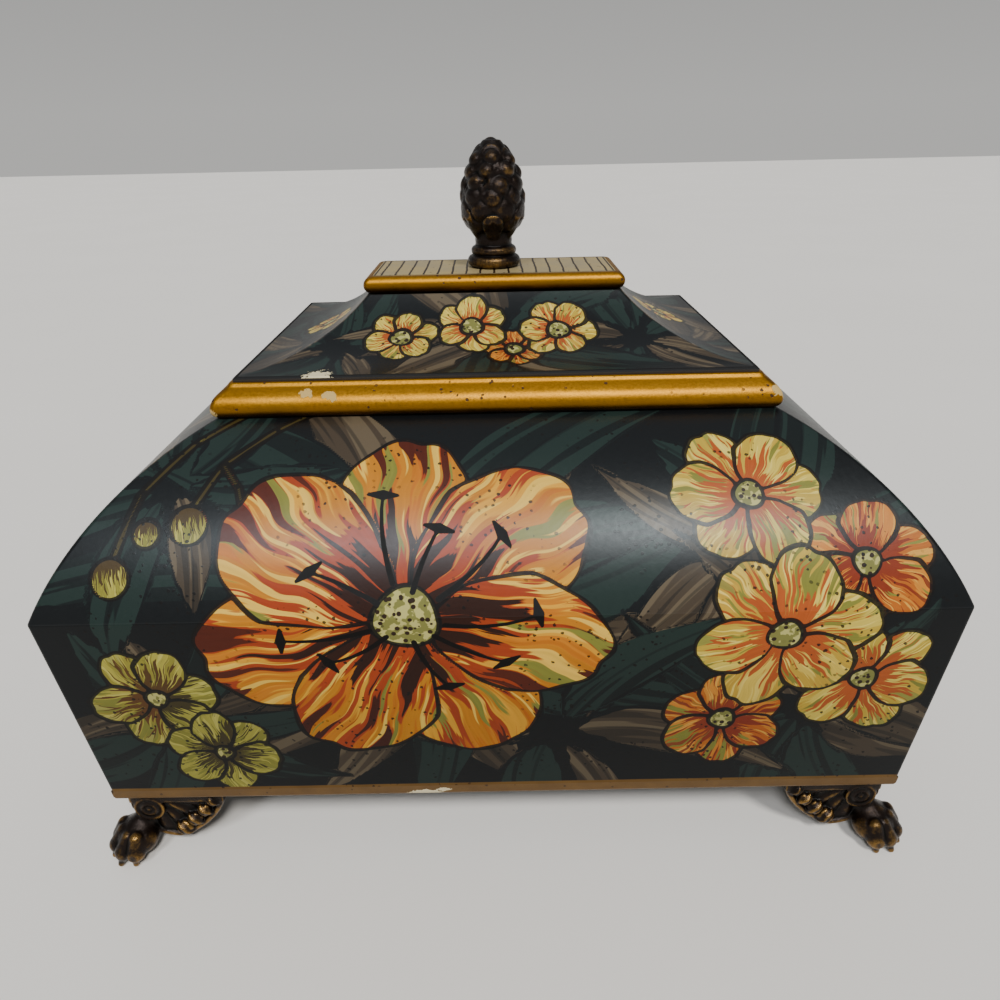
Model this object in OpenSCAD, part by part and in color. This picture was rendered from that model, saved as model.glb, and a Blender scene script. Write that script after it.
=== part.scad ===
// Painted keepsake casket with a lift-off lid, on four cast claw feet.
// Millimetres, +Z up. The origin is on the floor under the middle of the casket,
// +X runs along the long front and -Y faces the viewer.

/* [Casket] */
// Width over the belt, the widest level of the casket
belt_w = 340; // [300:1:380]
// Depth over the belt
belt_d = 274; // [250:1:300]
// Height of the belt above the floor
belt_z = 126; // [115:1:135]
// Height of the rim that the lid rests on
rim_z = 181.5; // [176:0.5:185]
// Thickness of the wall boards
wall_t = 8; // [6:0.5:9]
// How far the walls come in from the belt down to the bottom edge
foot_in = 6.1; // [3:0.1:9]
// Radius of the curved shoulder above the belt
shoulder_r = 110; // [105:1:120]
// Lean of the shoulder from the vertical where it starts at the belt
shoulder_lean = 25.2; // [23:0.1:27]
// Thickness of the bottom board with its gilded edge
base_t = 6; // [5:0.5:9]

/* [Opening] */
// From the belt plane in to the edge of the opening
open_in = 75; // [72:0.5:78]
// Width of the strips glued under the rim
rim_strip_w = 12; // [8:0.5:14]
// Height of the underside of the rim strips
rim_strip_z = 167; // [162:0.5:170]

/* [Lid] */
// Play of the lid's lip in the opening, on each side
lip_play = 4; // [1:0.5:5]
// Depth of the lip below the rim
lip_h = 7; // [4:0.5:9]
// Thickness of the lip battens
lip_t = 6; // [4:0.5:7]
// Radius of the hollow sweep of the lid's panels
cove_r = 67.3; // [66:0.1:69]
// Thickness of the lid's panels
cove_t = 4; // [3:0.5:5]
// Height of the plate and of the half-round bead along its edge
plate_t = 7.6; // [6:0.2:9]
// Height of the finial above the plate
finial_h = 53.7; // [48:0.1:60]

/* [Feet] */
// Height of the feet, from the floor to the bottom board
foot_h = 31.5; // [28:0.5:34]
// Length of a foot's leaf along the casket's edge
leaf_l = 44; // [38:0.5:46]

/* [Hidden] */
$fn = 96;
eps = 0.01;

// Sides are counted front, right, back, left, each a quarter turn on from the last
FRONT = 0;
RIGHT = 1;
BACK = 2;
LEFT = 3;
half_w = belt_w / 2;
half_d = belt_d / 2;
reach = half_w + 20;
above = 320;

// Sections are drawn with the first coordinate measured outward from the belt plane
shoulder_c = [-shoulder_r * cos(shoulder_lean), belt_z - shoulder_r * sin(shoulder_lean)];
base_top_z = foot_h + base_t;
base_edge_r = 2.4;
wall_slope = foot_in / (belt_z - foot_h);

// Lid section: the cove's centre, the panel's foot and top, and the moulding's two radii
cove_c = [-64.5, 263.3];
cove_foot = -65.6;
cove_top_z = 217.8;
nose_c = -64.3;
nose_z = rim_z + 3.5;
nose_r = 7;
under_r = nose_z - rim_z;
nose_out = nose_c + nose_r;
shoulder_cut = 53;
fillet_z = 194.6;
fillet_p = -65.4;
lip_out = -open_in - lip_play;
lip_in = lip_out - lip_t;

// Plate and its half-round bead
bead_r = plate_t / 2;
plate_edge = -116.4;
plate_top_z = cove_top_z + plate_t;

// Finial and its fixing
finial_r = 14.4;
neck_r = 7.6;
scale_rows = 7;
scales_round = 8;
cone_rings = 32;
cone_sides = 40;
cone_low = 9;
stud_r = 2.5;
stud_in = 14;
stud_play = 0.25;
washer_r = 7.5;
washer_t = 1;
nut_af = 8;
nut_h = 4;

// Feet: everything is measured from the casket's bottom corner, outward positive
foot_face = -3;
block_c = [-10.5, 22];
block_r = 7;
leaf_arc_c = [-8.1, 41.8];
leaf_arc_r = 38.8;
leaf_t = 7;
pad_t = 5;
screw_places = [[-15, -24], [-24, -15]];
screw_r = 2;
screw_head_r = 4;
screw_head_h = 2;
screw_l = 16;
screw_play = 0.25;
boss_r = 4.5;
boss_h = 13;
paw_c = [-0.2, 0, 9];
paw_size = [8.8, 7.6, 11.5];
paw_sides = 40;
paw_rings = 14;
toe_r = 1.1;
ankle_r = 5.6;
foot_corner = [half_w - foot_in, half_d - foot_in];

ink = "#26292a";
gold = "#b08a3c";
bronze = "#4a3426";
steel = "#a8a8a4";

function half_of(side) = side % 2 == 0 ? half_d : half_w;
function half_across(side) = side % 2 == 0 ? half_w : half_d;
function deg_tip(row, count) = 360 * (row % 2) / (2 * count);

// A section swept along one side and mitred at 45 degrees against its neighbours
module mitred(side) {
    longer = half_across(side) - half_of(side);
    apex = longer < 0
        ? [[0, longer]]
        : [[longer, 0], [-longer, 0]];
    rotate([0, 0, 90 * side])
        intersection() {
            rotate([90, 0, -90])
                linear_extrude(3 * reach, center = true)
                    translate([half_of(side), 0])
                        children();
            linear_extrude(above)
                polygon(concat([[-reach - longer, -reach], [reach + longer, -reach]], apex));
        }
}

// Wall line from the bottom edge to the belt
function wall_p(z) = -(belt_z - z) * wall_slope;

module lower_section() {
    polygon([
        [wall_p(base_top_z), base_top_z],
        [0, belt_z],
        [-wall_t, belt_z],
        [wall_p(base_top_z) - wall_t, base_top_z]
    ]);
}

module shoulder_section() {
    intersection() {
        difference() {
            translate(shoulder_c) circle(r = shoulder_r, $fn = 360);
            translate(shoulder_c) circle(r = shoulder_r - wall_t, $fn = 360);
        }
        translate([-open_in, belt_z]) square([open_in + 1, rim_z - belt_z]);
    }
}

module rim_strip_section() {
    intersection() {
        translate(shoulder_c) circle(r = shoulder_r - wall_t, $fn = 360);
        translate([-open_in, rim_strip_z]) square([rim_strip_w, rim_z - rim_strip_z]);
    }
}

module lower_board(side) {
    color(ink) mitred(side) lower_section();
}

module shoulder_panel(side) {
    color(ink) mitred(side) shoulder_section();
}

module rim_strip(side) {
    color(ink) mitred(side) rim_strip_section();
}

// Outline of the bottom board seen from one side, rounded along its lower edge
module base_outline(half) {
    low = half + wall_p(foot_h);
    high = half + wall_p(base_top_z);
    difference() {
        polygon([[-low, foot_h], [low, foot_h], [high, base_top_z], [-high, base_top_z]]);
        for (turn = [0, 1])
            mirror([turn, 0])
                translate([low - base_edge_r, foot_h + base_edge_r])
                    difference() {
                        translate([0, -base_edge_r - 1]) square([base_edge_r + 2, base_edge_r + 1]);
                        circle(r = base_edge_r, $fn = 48);
                    }
    }
}

module each_corner() {
    for (turn = [0 : 3])
        foot_place(turn) children();
}

// Corners are counted front right, back right, back left, front left
module foot_place(corner) {
    across = corner < 2 ? 1 : -1;
    along = corner == 1 || corner == 2 ? 1 : -1;
    translate([across * foot_corner[0], along * foot_corner[1], 0])
        rotate([0, 0, 90 * corner - 90])
            children();
}

module bottom_board() {
    color(ink)
        difference() {
            intersection() {
                rotate([90, 0, 0])
                    linear_extrude(2 * reach, center = true) base_outline(half_w);
                rotate([90, 0, 90])
                    linear_extrude(2 * reach, center = true) base_outline(half_d);
            }
            each_corner()
                for (place = screw_places)
                    translate([place[0], place[1], 0]) {
                        translate([0, 0, foot_h - 1]) cylinder(r = screw_r + screw_play, h = base_t + 2);
                        translate([0, 0, base_top_z - screw_head_h])
                            cylinder(r1 = screw_r, r2 = screw_head_r, h = screw_head_h);
                    }
        }
}

// One leaf of a foot: a plate under the casket's edge with a row of beads on its face
module foot_leaf() {
    translate([0, foot_face, 0])
        rotate([90, 0, 0])
            linear_extrude(leaf_t)
                intersection() {
                    translate(leaf_arc_c) circle(r = leaf_arc_r, $fn = 180);
                    translate([-leaf_l, 0]) square([leaf_l - 12, foot_h]);
                }
    for (bead = [[-21.3, 11.5, 3.2], [-28, 16, 2.8], [-33.6, 20.6, 2.6], [-38.4, 25.6, 2.5]])
        translate([bead[0], foot_face - 1, bead[1]]) sphere(r = bead[2], $fn = 32);
}

// The scroll seen on one face of a foot
module foot_scroll() {
    translate([block_c[0], foot_face, block_c[1]])
        rotate([90, 0, 0]) {
            translate([0, 0, -1]) cylinder(r = 5.6, h = 3);
            translate([0, 0, -2]) cylinder(r = 2.2, h = 4);
        }
}

module foot_block() {
    rotate([90, 0, 0])
        translate([0, 0, -foot_face])
            linear_extrude(14)
                translate(block_c) {
                    circle(r = block_r);
                    translate([-block_r, 0]) square([2 * block_r, foot_h - block_c[1]]);
                }
}

// The paw is an egg that stands on the floor and points outward along the diagonal.
// Four toes swell from its front half, fading to nothing at the back and on top.
function toe_swell(around, up) =
    abs(around) < 72
        ? toe_r * abs(sin(around * 5)) * pow(max(0, cos(up)), 0.5)
        : 0;

function paw_point(around, up) =
    let (
        way = [cos(up) * cos(around), cos(up) * sin(around), sin(up)],
        r = 1 / norm([way[0] / paw_size[0], way[1] / paw_size[1], way[2] / paw_size[2]]),
        p = paw_c + (r + toe_swell(around, up)) * way
    )
    [p[0], p[1], max(0, p[2])];

module foot_paw() {
    turns = [for (k = [0 : paw_sides - 1]) 360 * (k + 0.5) / paw_sides - 180];
    points = concat(
        [for (ring = [1 : paw_rings - 1]) for (turn = turns) paw_point(turn, 180 * ring / paw_rings - 90)],
        [[paw_c[0], 0, 0], paw_point(0, 90)]
    );
    low = len(points) - 2;
    top = len(points) - 1;
    last = (paw_rings - 2) * paw_sides;
    faces = concat(
        [for (ring = [0 : paw_rings - 3]) for (k = [0 : paw_sides - 1])
            [ring * paw_sides + k, (ring + 1) * paw_sides + k, ring * paw_sides + (k + 1) % paw_sides]],
        [for (ring = [0 : paw_rings - 3]) for (k = [0 : paw_sides - 1])
            [(ring + 1) * paw_sides + k, (ring + 1) * paw_sides + (k + 1) % paw_sides,
                ring * paw_sides + (k + 1) % paw_sides]],
        [for (k = [0 : paw_sides - 1]) [low, k, (k + 1) % paw_sides]],
        [for (k = [0 : paw_sides - 1]) [top, last + (k + 1) % paw_sides, last + k]]
    );
    rotate([0, 0, 45]) {
        polyhedron(points, faces);
        translate([-13, 0, 20.5])
            rotate([0, 125, 0]) cylinder(r = ankle_r, h = 15);
    }
}

module claw_foot() {
    color(bronze)
        difference() {
            union() {
                foot_leaf();
                foot_scroll();
                mirror([1, -1, 0]) {
                    foot_leaf();
                    foot_scroll();
                }
                intersection() {
                    foot_block();
                    mirror([1, -1, 0]) foot_block();
                }
                translate([0, 0, foot_h - pad_t])
                    linear_extrude(pad_t)
                        polygon([[foot_face, foot_face], [foot_face, -leaf_l], [-leaf_l, foot_face]]);
                for (place = screw_places)
                    translate([place[0], place[1], foot_h - boss_h]) cylinder(r = boss_r, h = boss_h);
                foot_paw();
            }
            for (place = screw_places)
                translate([place[0], place[1], foot_h - boss_h + 1]) cylinder(r = screw_r, h = boss_h);
        }
}

module foot_screws() {
    color(steel)
        each_corner()
            for (place = screw_places)
                translate([place[0], place[1], 0]) {
                    translate([0, 0, base_top_z - screw_l]) cylinder(r = screw_r, h = screw_l - eps);
                    translate([0, 0, base_top_z - screw_head_h])
                        cylinder(r1 = screw_r, r2 = screw_head_r, h = screw_head_h);
                }
}

// The big moulding: a frame with a round nose, seated under the lid's panels
module moulding_section() {
    nose_tip = [nose_c + nose_r * cos(shoulder_cut), nose_z + nose_r * sin(shoulder_cut)];
    difference() {
        union() {
            polygon([
                [lip_in, rim_z],
                [nose_out - under_r, rim_z],
                [nose_out - under_r, nose_z],
                nose_tip,
                [fillet_p, fillet_z],
                [lip_in, fillet_z + 2]
            ]);
            intersection() {
                translate([nose_c, nose_z]) circle(r = nose_r);
                translate([nose_c, nose_z]) square(nose_r + 1);
            }
            intersection() {
                translate([nose_out - under_r, nose_z]) circle(r = under_r);
                translate([nose_out - under_r, nose_z - under_r]) square(under_r);
            }
        }
        intersection() {
            translate(cove_c) circle(r = cove_r + cove_t, $fn = 360);
            translate([lip_in - 1, rim_z]) square([fillet_p - lip_in + 1, 30]);
        }
    }
}

module lip_section() {
    translate([lip_in, rim_z - lip_h]) square([lip_t, lip_h]);
}

module cove_section() {
    intersection() {
        difference() {
            translate(cove_c) circle(r = cove_r + cove_t, $fn = 360);
            translate(cove_c) circle(r = cove_r, $fn = 360);
        }
        translate([-half_d, rim_z]) square([half_d + cove_foot, cove_top_z - rim_z]);
    }
}

module bead_section() {
    intersection() {
        translate([plate_edge, cove_top_z + bead_r]) circle(r = bead_r);
        translate([plate_edge, cove_top_z]) square([bead_r, plate_t]);
    }
}

module lid_moulding(side) {
    color(gold) mitred(side) moulding_section();
}

module lid_lip(side) {
    color(ink) mitred(side) lip_section();
}

module lid_panel(side) {
    color(ink) mitred(side) cove_section();
}

module plate_bead(side) {
    color(gold) mitred(side) bead_section();
}

module top_plate() {
    color("tan")
        difference() {
            translate([0, 0, cove_top_z + plate_t / 2])
                cube([2 * (half_w + plate_edge), 2 * (half_d + plate_edge), plate_t], center = true);
            translate([0, 0, cove_top_z - 1]) cylinder(r = stud_r + stud_play, h = plate_t + 2);
        }
}

// Radius of the cone's bare core at a height above the plate, before the scales
function cone_core(z) =
    let (t = (z - cone_low) / (finial_h - cone_low))
    t < 0.36
        ? neck_r + (finial_r - 2.2 - neck_r) * sin(90 * t / 0.36)
        : (finial_r - 2.2) * pow(cos(90 * (t - 0.36) / 0.66), 0.72);

// A scale is a rounded hood: highest at its middle, dropping sharply below its lip
function hood(turn, rise) =
    let (d = turn * turn + (rise > 0 ? rise * rise : 1.9 * rise * rise))
    d < 1 ? sqrt(1 - d) : 0;

function scale_lift(angle, t) =
    max([
        for (row = [floor(t * scale_rows) - 1 : floor(t * scale_rows) + 1])
            for (k = [0 : scales_round - 1])
                let (
                    middle = 360 * k / scales_round + deg_tip(row, scales_round) + row * 9,
                    gap = ((angle - middle) % 360 + 540) % 360 - 180
                )
                hood(gap * scales_round / 225, t * scale_rows - row - 0.5)
    ]);

function cone_point(ring, side) =
    let (
        t = ring / cone_rings,
        z = cone_low + t * (finial_h - 1.6 - cone_low),
        angle = 360 * side / cone_sides,
        swell = 2.4 * min(1, 3.4 * (1 - t)) * min(1, t * 8),
        r = cone_core(z) + swell * scale_lift(angle, t)
    )
    [r * cos(angle), r * sin(angle), z];

module finial_cone() {
    points = concat(
        [for (ring = [0 : cone_rings]) for (side = [0 : cone_sides - 1]) cone_point(ring, side)],
        [[0, 0, cone_low], [0, 0, finial_h]]
    );
    last = cone_rings * cone_sides;
    centre_low = len(points) - 2;
    centre_top = len(points) - 1;
    faces = concat(
        [for (ring = [0 : cone_rings - 1]) for (side = [0 : cone_sides - 1])
            [ring * cone_sides + side, (ring + 1) * cone_sides + side, ring * cone_sides + (side + 1) % cone_sides]],
        [for (ring = [0 : cone_rings - 1]) for (side = [0 : cone_sides - 1])
            [(ring + 1) * cone_sides + side, (ring + 1) * cone_sides + (side + 1) % cone_sides,
                ring * cone_sides + (side + 1) % cone_sides]],
        [for (side = [0 : cone_sides - 1]) [centre_low, side, (side + 1) % cone_sides]],
        [for (side = [0 : cone_sides - 1]) [centre_top, last + (side + 1) % cone_sides, last + side]]
    );
    polyhedron(points, faces);
}

// Two turned rings and a neck under the cone
module finial_base() {
    rotate_extrude() {
        square([9.6, 5.2]);
        translate([9.6, 2.6]) circle(r = 2.6);
        translate([0, 5]) square([8.4, 4.2]);
        translate([8.4, 7.1]) circle(r = 2.1);
        translate([0, 9]) square([neck_r, 3]);
    }
}

module finial() {
    color(bronze)
        translate([0, 0, plate_top_z])
            difference() {
                union() {
                    finial_base();
                    finial_cone();
                }
                translate([0, 0, -1]) cylinder(r = stud_r, h = stud_in + 1.5);
            }
}

module finial_stud() {
    low = washer_t + nut_h + 2;
    color(steel)
        translate([0, 0, cove_top_z - low]) cylinder(r = stud_r, h = low + plate_t + stud_in);
}

module finial_washer() {
    color(steel)
        translate([0, 0, cove_top_z - washer_t])
            difference() {
                cylinder(r = washer_r, h = washer_t);
                translate([0, 0, -1]) cylinder(r = stud_r + stud_play, h = washer_t + 2);
            }
}

module finial_nut() {
    color(steel)
        translate([0, 0, cove_top_z - washer_t - nut_h])
            difference() {
                cylinder(d = nut_af / cos(30), h = nut_h, $fn = 6);
                translate([0, 0, -1]) cylinder(r = stud_r, h = nut_h + 2);
            }
}

bottom_board();
lower_board(FRONT);  // lower_front_board
lower_board(RIGHT);  // lower_right_board
lower_board(BACK);  // lower_back_board
lower_board(LEFT);  // lower_left_board
shoulder_panel(FRONT);  // shoulder_front_panel
shoulder_panel(RIGHT);  // shoulder_right_panel
shoulder_panel(BACK);  // shoulder_back_panel
shoulder_panel(LEFT);  // shoulder_left_panel
rim_strip(FRONT);  // rim_strip_front
rim_strip(RIGHT);  // rim_strip_right
rim_strip(BACK);  // rim_strip_back
rim_strip(LEFT);  // rim_strip_left
foot_place(0) claw_foot();  // foot_front_right
foot_place(1) claw_foot();  // foot_back_right
foot_place(2) claw_foot();  // foot_back_left
foot_place(3) claw_foot();  // foot_front_left
foot_screws();
lid_moulding(FRONT);  // lid_moulding_front
lid_moulding(RIGHT);  // lid_moulding_right
lid_moulding(BACK);  // lid_moulding_back
lid_moulding(LEFT);  // lid_moulding_left
lid_lip(FRONT);  // lid_lip_front
lid_lip(RIGHT);  // lid_lip_right
lid_lip(BACK);  // lid_lip_back
lid_lip(LEFT);  // lid_lip_left
lid_panel(FRONT);  // lid_panel_front
lid_panel(RIGHT);  // lid_panel_right
lid_panel(BACK);  // lid_panel_back
lid_panel(LEFT);  // lid_panel_left
top_plate();
plate_bead(FRONT);  // plate_bead_front
plate_bead(RIGHT);  // plate_bead_right
plate_bead(BACK);  // plate_bead_back
plate_bead(LEFT);  // plate_bead_left
finial();
finial_stud();
finial_washer();
finial_nut();
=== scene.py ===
# %% [markdown]
# A painted keepsake casket, worked out as surfaces.
#
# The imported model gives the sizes. Every visible board, moulding and casting is worked out
# here again as a fine numpy surface that fills the same space, and gets its own finish.
# Lengths are in millimetres until a mesh is made.

# %% Load the frame
import math
import bpy
import numpy as np
from mathutils import Matrix, Vector


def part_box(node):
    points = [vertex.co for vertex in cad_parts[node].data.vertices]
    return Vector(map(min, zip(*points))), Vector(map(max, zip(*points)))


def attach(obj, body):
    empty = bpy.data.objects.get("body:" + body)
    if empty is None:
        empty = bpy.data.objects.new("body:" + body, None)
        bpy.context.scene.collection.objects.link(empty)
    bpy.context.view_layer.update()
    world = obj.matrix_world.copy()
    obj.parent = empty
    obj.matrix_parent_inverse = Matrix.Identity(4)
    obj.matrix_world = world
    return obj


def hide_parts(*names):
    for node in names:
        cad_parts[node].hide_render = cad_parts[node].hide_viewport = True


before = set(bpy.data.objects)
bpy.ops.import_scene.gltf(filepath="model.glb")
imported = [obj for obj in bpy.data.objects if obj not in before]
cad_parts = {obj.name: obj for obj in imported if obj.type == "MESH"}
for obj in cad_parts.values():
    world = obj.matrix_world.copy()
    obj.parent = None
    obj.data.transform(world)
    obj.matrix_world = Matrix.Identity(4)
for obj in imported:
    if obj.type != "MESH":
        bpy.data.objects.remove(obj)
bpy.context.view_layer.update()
MM = 0.001
print("nodes in the frame:", len(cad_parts))

# %% [markdown]
# Driving sizes. A node's box says where its outer faces are, so the belt, the rim and the
# plate are read from the frame. Only the radii of the curved sections are written down.

# %% Sizes of the casket
SIDES = ["front", "right", "back", "left"]


def box_mm(node):
    """A node's lowest and highest corner in millimetres."""
    low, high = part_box(node)
    return np.array(low) / MM, np.array(high) / MM


lower_low, lower_high = box_mm("lower_front_board")
base_low, base_high = box_mm("bottom_board")
HALF_W = lower_high[0]
HALF_D = -lower_low[1]
BELT_Z = lower_high[2]
BASE_Z = base_low[2]
BASE_TOP = base_high[2]
RIM_Z = box_mm("shoulder_front_panel")[1][2]
WALL_SLOPE = (HALF_W - base_high[0]) / (BELT_Z - BASE_TOP)
WALL_T = 8.0
SHOULDER_R = 110.0
SHOULDER_LEAN = math.radians(25.2)
SHOULDER_C = (-SHOULDER_R * math.cos(SHOULDER_LEAN), BELT_Z - SHOULDER_R * math.sin(SHOULDER_LEAN))
CORNER_R = 1.4
GRID = 0.8
print(f"belt {2 * HALF_W:.1f} x {2 * HALF_D:.1f} mm at {BELT_Z:.1f} mm, rim at {RIM_Z:.1f} mm")

# %% Sizes of the lid
panel_low, panel_high = box_mm("lid_panel_front")
plate_low, plate_high = box_mm("top_plate")
bead_low, bead_high = box_mm("plate_bead_front")
finial_low, finial_high = box_mm("finial")
COVE_R = 67.3
COVE_T = 4.0
COVE_C = (-64.5, 263.3)
PANEL_FOOT = -(HALF_D + panel_low[1])
PANEL_TOP = panel_high[2]
NOSE_OUT = -(HALF_D + box_mm("lid_moulding_front")[0][1])
NOSE_R = 7.0
NOSE_Z = RIM_Z + 3.5
FILLET_Z = 194.6
LIP_IN = -85.0
print(f"lid nose {NOSE_OUT:.1f} mm and panel foot {PANEL_FOOT:.1f} mm from the belt plane")

# %% [markdown]
# The camera stands where the photograph was taken: it looks down by the pitch, is turned by
# the yaw and leans by the roll.

# %% Camera
CAMERA_AT = (0.0017, -0.3582, 0.2832)
YAW = math.radians(-0.21)
PITCH = math.radians(26.52)
ROLL = math.radians(-1.23)
LENS = 27.0


def camera_axes(yaw, pitch, roll):
    """Right, up and forward of a camera that is turned, tipped down and rolled."""
    forward = Vector((math.sin(yaw) * math.cos(pitch), math.cos(yaw) * math.cos(pitch), -math.sin(pitch)))
    level = Vector((math.cos(yaw), -math.sin(yaw), 0))
    top = level.cross(forward)
    right = math.cos(roll) * level + math.sin(roll) * top
    up = math.cos(roll) * top - math.sin(roll) * level
    return right, up, forward


camera_data = bpy.data.cameras.new("camera")
camera = bpy.data.objects.new("camera", camera_data)
bpy.context.scene.collection.objects.link(camera)
right, up, forward = camera_axes(YAW, PITCH, ROLL)
camera.matrix_world = Matrix.Translation(CAMERA_AT) @ Matrix((right, up, -forward)).transposed().to_4x4()
camera_data.lens = LENS
camera_data.sensor_width = 36.0
camera_data.clip_start = 0.01
bpy.context.scene.camera = camera
print("camera at", CAMERA_AT)

# %% [markdown]
# Shader maths. A small class wraps a socket, so that a mask can be written as an ordinary
# expression; any other node comes from one method, which sets the node's settings first.

# %% Shader helpers


def operator(operation, swapped=False):
    """Arithmetic between a number and whatever stands beside it, as a Math node."""

    def apply(self, other=0.0):
        first, second = (other, self) if swapped else (self, other)
        return self.recipe.node("Math", {"operation": operation}, {0: first, 1: second})

    return apply


class Number:
    """A number that a socket carries. Arithmetic on it adds Math nodes."""

    __add__ = operator("ADD")
    __radd__ = operator("ADD", True)
    __sub__ = operator("SUBTRACT")
    __rsub__ = operator("SUBTRACT", True)
    __mul__ = operator("MULTIPLY")
    __rmul__ = operator("MULTIPLY", True)
    __abs__ = operator("ABSOLUTE")

    def __init__(self, recipe, socket):
        self.recipe = recipe
        self.socket = socket

    def above(self, edge, soft):
        """1 where the number is over edge, 0 below, with a soft step of that width."""
        return self.recipe.node(
            "MapRange",
            {"interpolation_type": "SMOOTHSTEP"},
            {0: self, 1: edge - soft / 2, 2: edge + soft / 2, 3: 0.0, 4: 1.0},
        )

    def below(self, edge, soft):
        return 1.0 - self.above(edge, soft)


def rgb(code):
    """A colour written as on a screen, as linear light."""
    parts = [int(code[k : k + 2], 16) / 255 for k in (1, 3, 5)]
    return tuple(p / 12.92 if p <= 0.04045 else ((p + 0.055) / 1.055) ** 2.4 for p in parts) + (1.0,)


class Recipe:
    """One material: a Principled shader and the nodes that feed it."""

    def __init__(self, name, **constants):
        self.material = bpy.data.materials.new(name)
        self.material.use_nodes = True
        self.tree = self.material.node_tree
        self.shader = self.tree.nodes["Principled BSDF"]
        for socket, value in constants.items():
            self.shader.inputs[socket.replace("_", " ")].default_value = value

    def node(self, kind, settings=None, inputs=None, output=0):
        """Adds a node, sets its settings, then feeds its sockets, and returns one output."""
        made = self.tree.nodes.new("ShaderNode" + kind)
        for key, value in (settings or {}).items():
            if key == "stops":
                self.fill_ramp(made.color_ramp, value)
            else:
                setattr(made, key, value)
        for key, value in (inputs or {}).items():
            self.feed(made.inputs[key], value)
        return Number(self, made.outputs[output])

    def fill_ramp(self, ramp, stops):
        while len(ramp.elements) < len(stops):
            ramp.elements.new(1.0)
        for element, (place, colour) in zip(ramp.elements, stops):
            element.position = place
            element.color = rgb(colour)

    def feed(self, socket, value):
        """Links a number, or sets a value; a colour may be given by its code."""
        if isinstance(value, Number):
            self.tree.links.new(value.socket, socket)
        else:
            socket.default_value = rgb(value) if isinstance(value, str) else value

    def mix(self, factor, first, second):
        return self.node("Mix", {"data_type": "RGBA"}, {0: factor, 6: first, 7: second}, 2)

    def vector(self, operation, inputs, output=0):
        return self.node("VectorMath", {"operation": operation}, inputs, output)

    def shade(self, colour, factor):
        """A colour made darker or lighter by a number."""
        return self.vector("SCALE", {0: colour, "Scale": factor})

    def split(self, vector):
        return [self.node("SeparateXYZ", None, {0: vector}, k) for k in range(3)]

    def join(self, x, y, z):
        return self.node("CombineXYZ", None, {0: x, 1: y, 2: z})

    def field(self, name, output=1):
        """A point attribute: three numbers, or with output 2 a single one."""
        return self.node("Attribute", {"attribute_name": name}, None, output)

    def place(self):
        """Object coordinates in millimetres."""
        return self.shade(self.node("TexCoord", None, None, 3), 1000.0)

    def noise(self, vector, scale, detail=2.0, rough=0.5):
        sockets = {"Vector": vector, "Scale": scale, "Detail": detail, "Roughness": rough}
        return self.node("TexNoise", None, sockets)

    def bent(self, vector):
        """The same coordinates, pushed about by noise, for spots that aren't quite round."""
        push = self.noise(vector, 0.6, 2.0) - 0.5
        x, y, z = self.split(vector)
        return self.join(x + 1.6 * push, y + 1.1 * push, z - 1.3 * push)

    def specks(self, vector, cell, size, share, soft=0.05):
        """Small round spots: one to a Voronoi cell, on a share of the cells."""
        sockets = {"Vector": vector, "Scale": 1.0 / cell}
        near = self.node("TexVoronoi", {"feature": "F1"}, sockets, 0)
        chance = self.split(self.node("TexVoronoi", {"feature": "F1"}, sockets, 1))[0]
        return near.below(size, soft) * chance.below(share, 0.02)

    def bump(self, height, strength, distance):
        return self.node("Bump", None, {"Height": height, "Strength": strength, "Distance": distance})

    def finish(self, **sockets):
        for socket, value in sockets.items():
            self.feed(self.shader.inputs[socket.replace("_", " ")], value)
        return self.material


print("shader helpers ready")

# %% [markdown]
# From arrays to a mesh. The points, the four-sided faces and the flat end caps go in as
# whole arrays, and values that a finish needs ride along as point attributes.

# %% Mesh helpers


def put_mesh(name, points, quads, caps, skins, skin_of=None, fields=None, crease=35.0):
    """Makes an object from points in millimetres, quads (n x 4) and a list of cap loops."""
    mesh = bpy.data.meshes.new(name)
    mesh.vertices.add(len(points))
    mesh.vertices.foreach_set("co", (points * MM).astype(np.float32).ravel())
    loops = np.concatenate([quads.ravel()] + [np.asarray(cap) for cap in caps]).astype(np.int32)
    sizes = np.concatenate([np.full(len(quads), 4), [len(cap) for cap in caps]]).astype(np.int32)
    mesh.loops.add(len(loops))
    mesh.loops.foreach_set("vertex_index", loops)
    mesh.polygons.add(len(sizes))
    mesh.polygons.foreach_set("loop_start", np.concatenate([[0], np.cumsum(sizes)[:-1]]).astype(np.int32))
    for skin in skins:
        mesh.materials.append(skin)
    if skin_of is not None:
        mesh.polygons.foreach_set("material_index", skin_of.astype(np.int32))
    mesh.update(calc_edges=True)
    mesh.shade_smooth()
    mesh.set_sharp_from_angle(angle=math.radians(crease))
    for key, values in (fields or {}).items():
        flat = values.ndim == 1
        layer = mesh.attributes.new(key, "FLOAT" if flat else "FLOAT_VECTOR", "POINT")
        layer.data.foreach_set("value" if flat else "vector", values.astype(np.float32).ravel())
    made = bpy.data.objects.new(name, mesh)
    bpy.context.scene.collection.objects.link(made)
    return made


def dress(piece, body, node):
    """Lets a piece ride on its body in place of its node."""
    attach(piece, body)
    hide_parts(node)
    return piece


def grid_quads(rows, columns, closed_rows):
    """Faces of a grid of points; closed_rows joins the last row to the first."""
    r = np.arange(rows if closed_rows else rows - 1)[:, None]
    c = np.arange(columns - 1)[None, :]
    low = r * columns + c
    high = ((r + 1) % rows) * columns + c
    return np.stack([low, low + 1, high + 1, high], -1).reshape(-1, 4)


CORNER_CUT = 0.293


def side_halves(side):
    """Half the casket across a side, and half the side's own length."""
    return (HALF_D, HALF_W) if side % 2 == 0 else (HALF_W, HALF_D)


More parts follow.
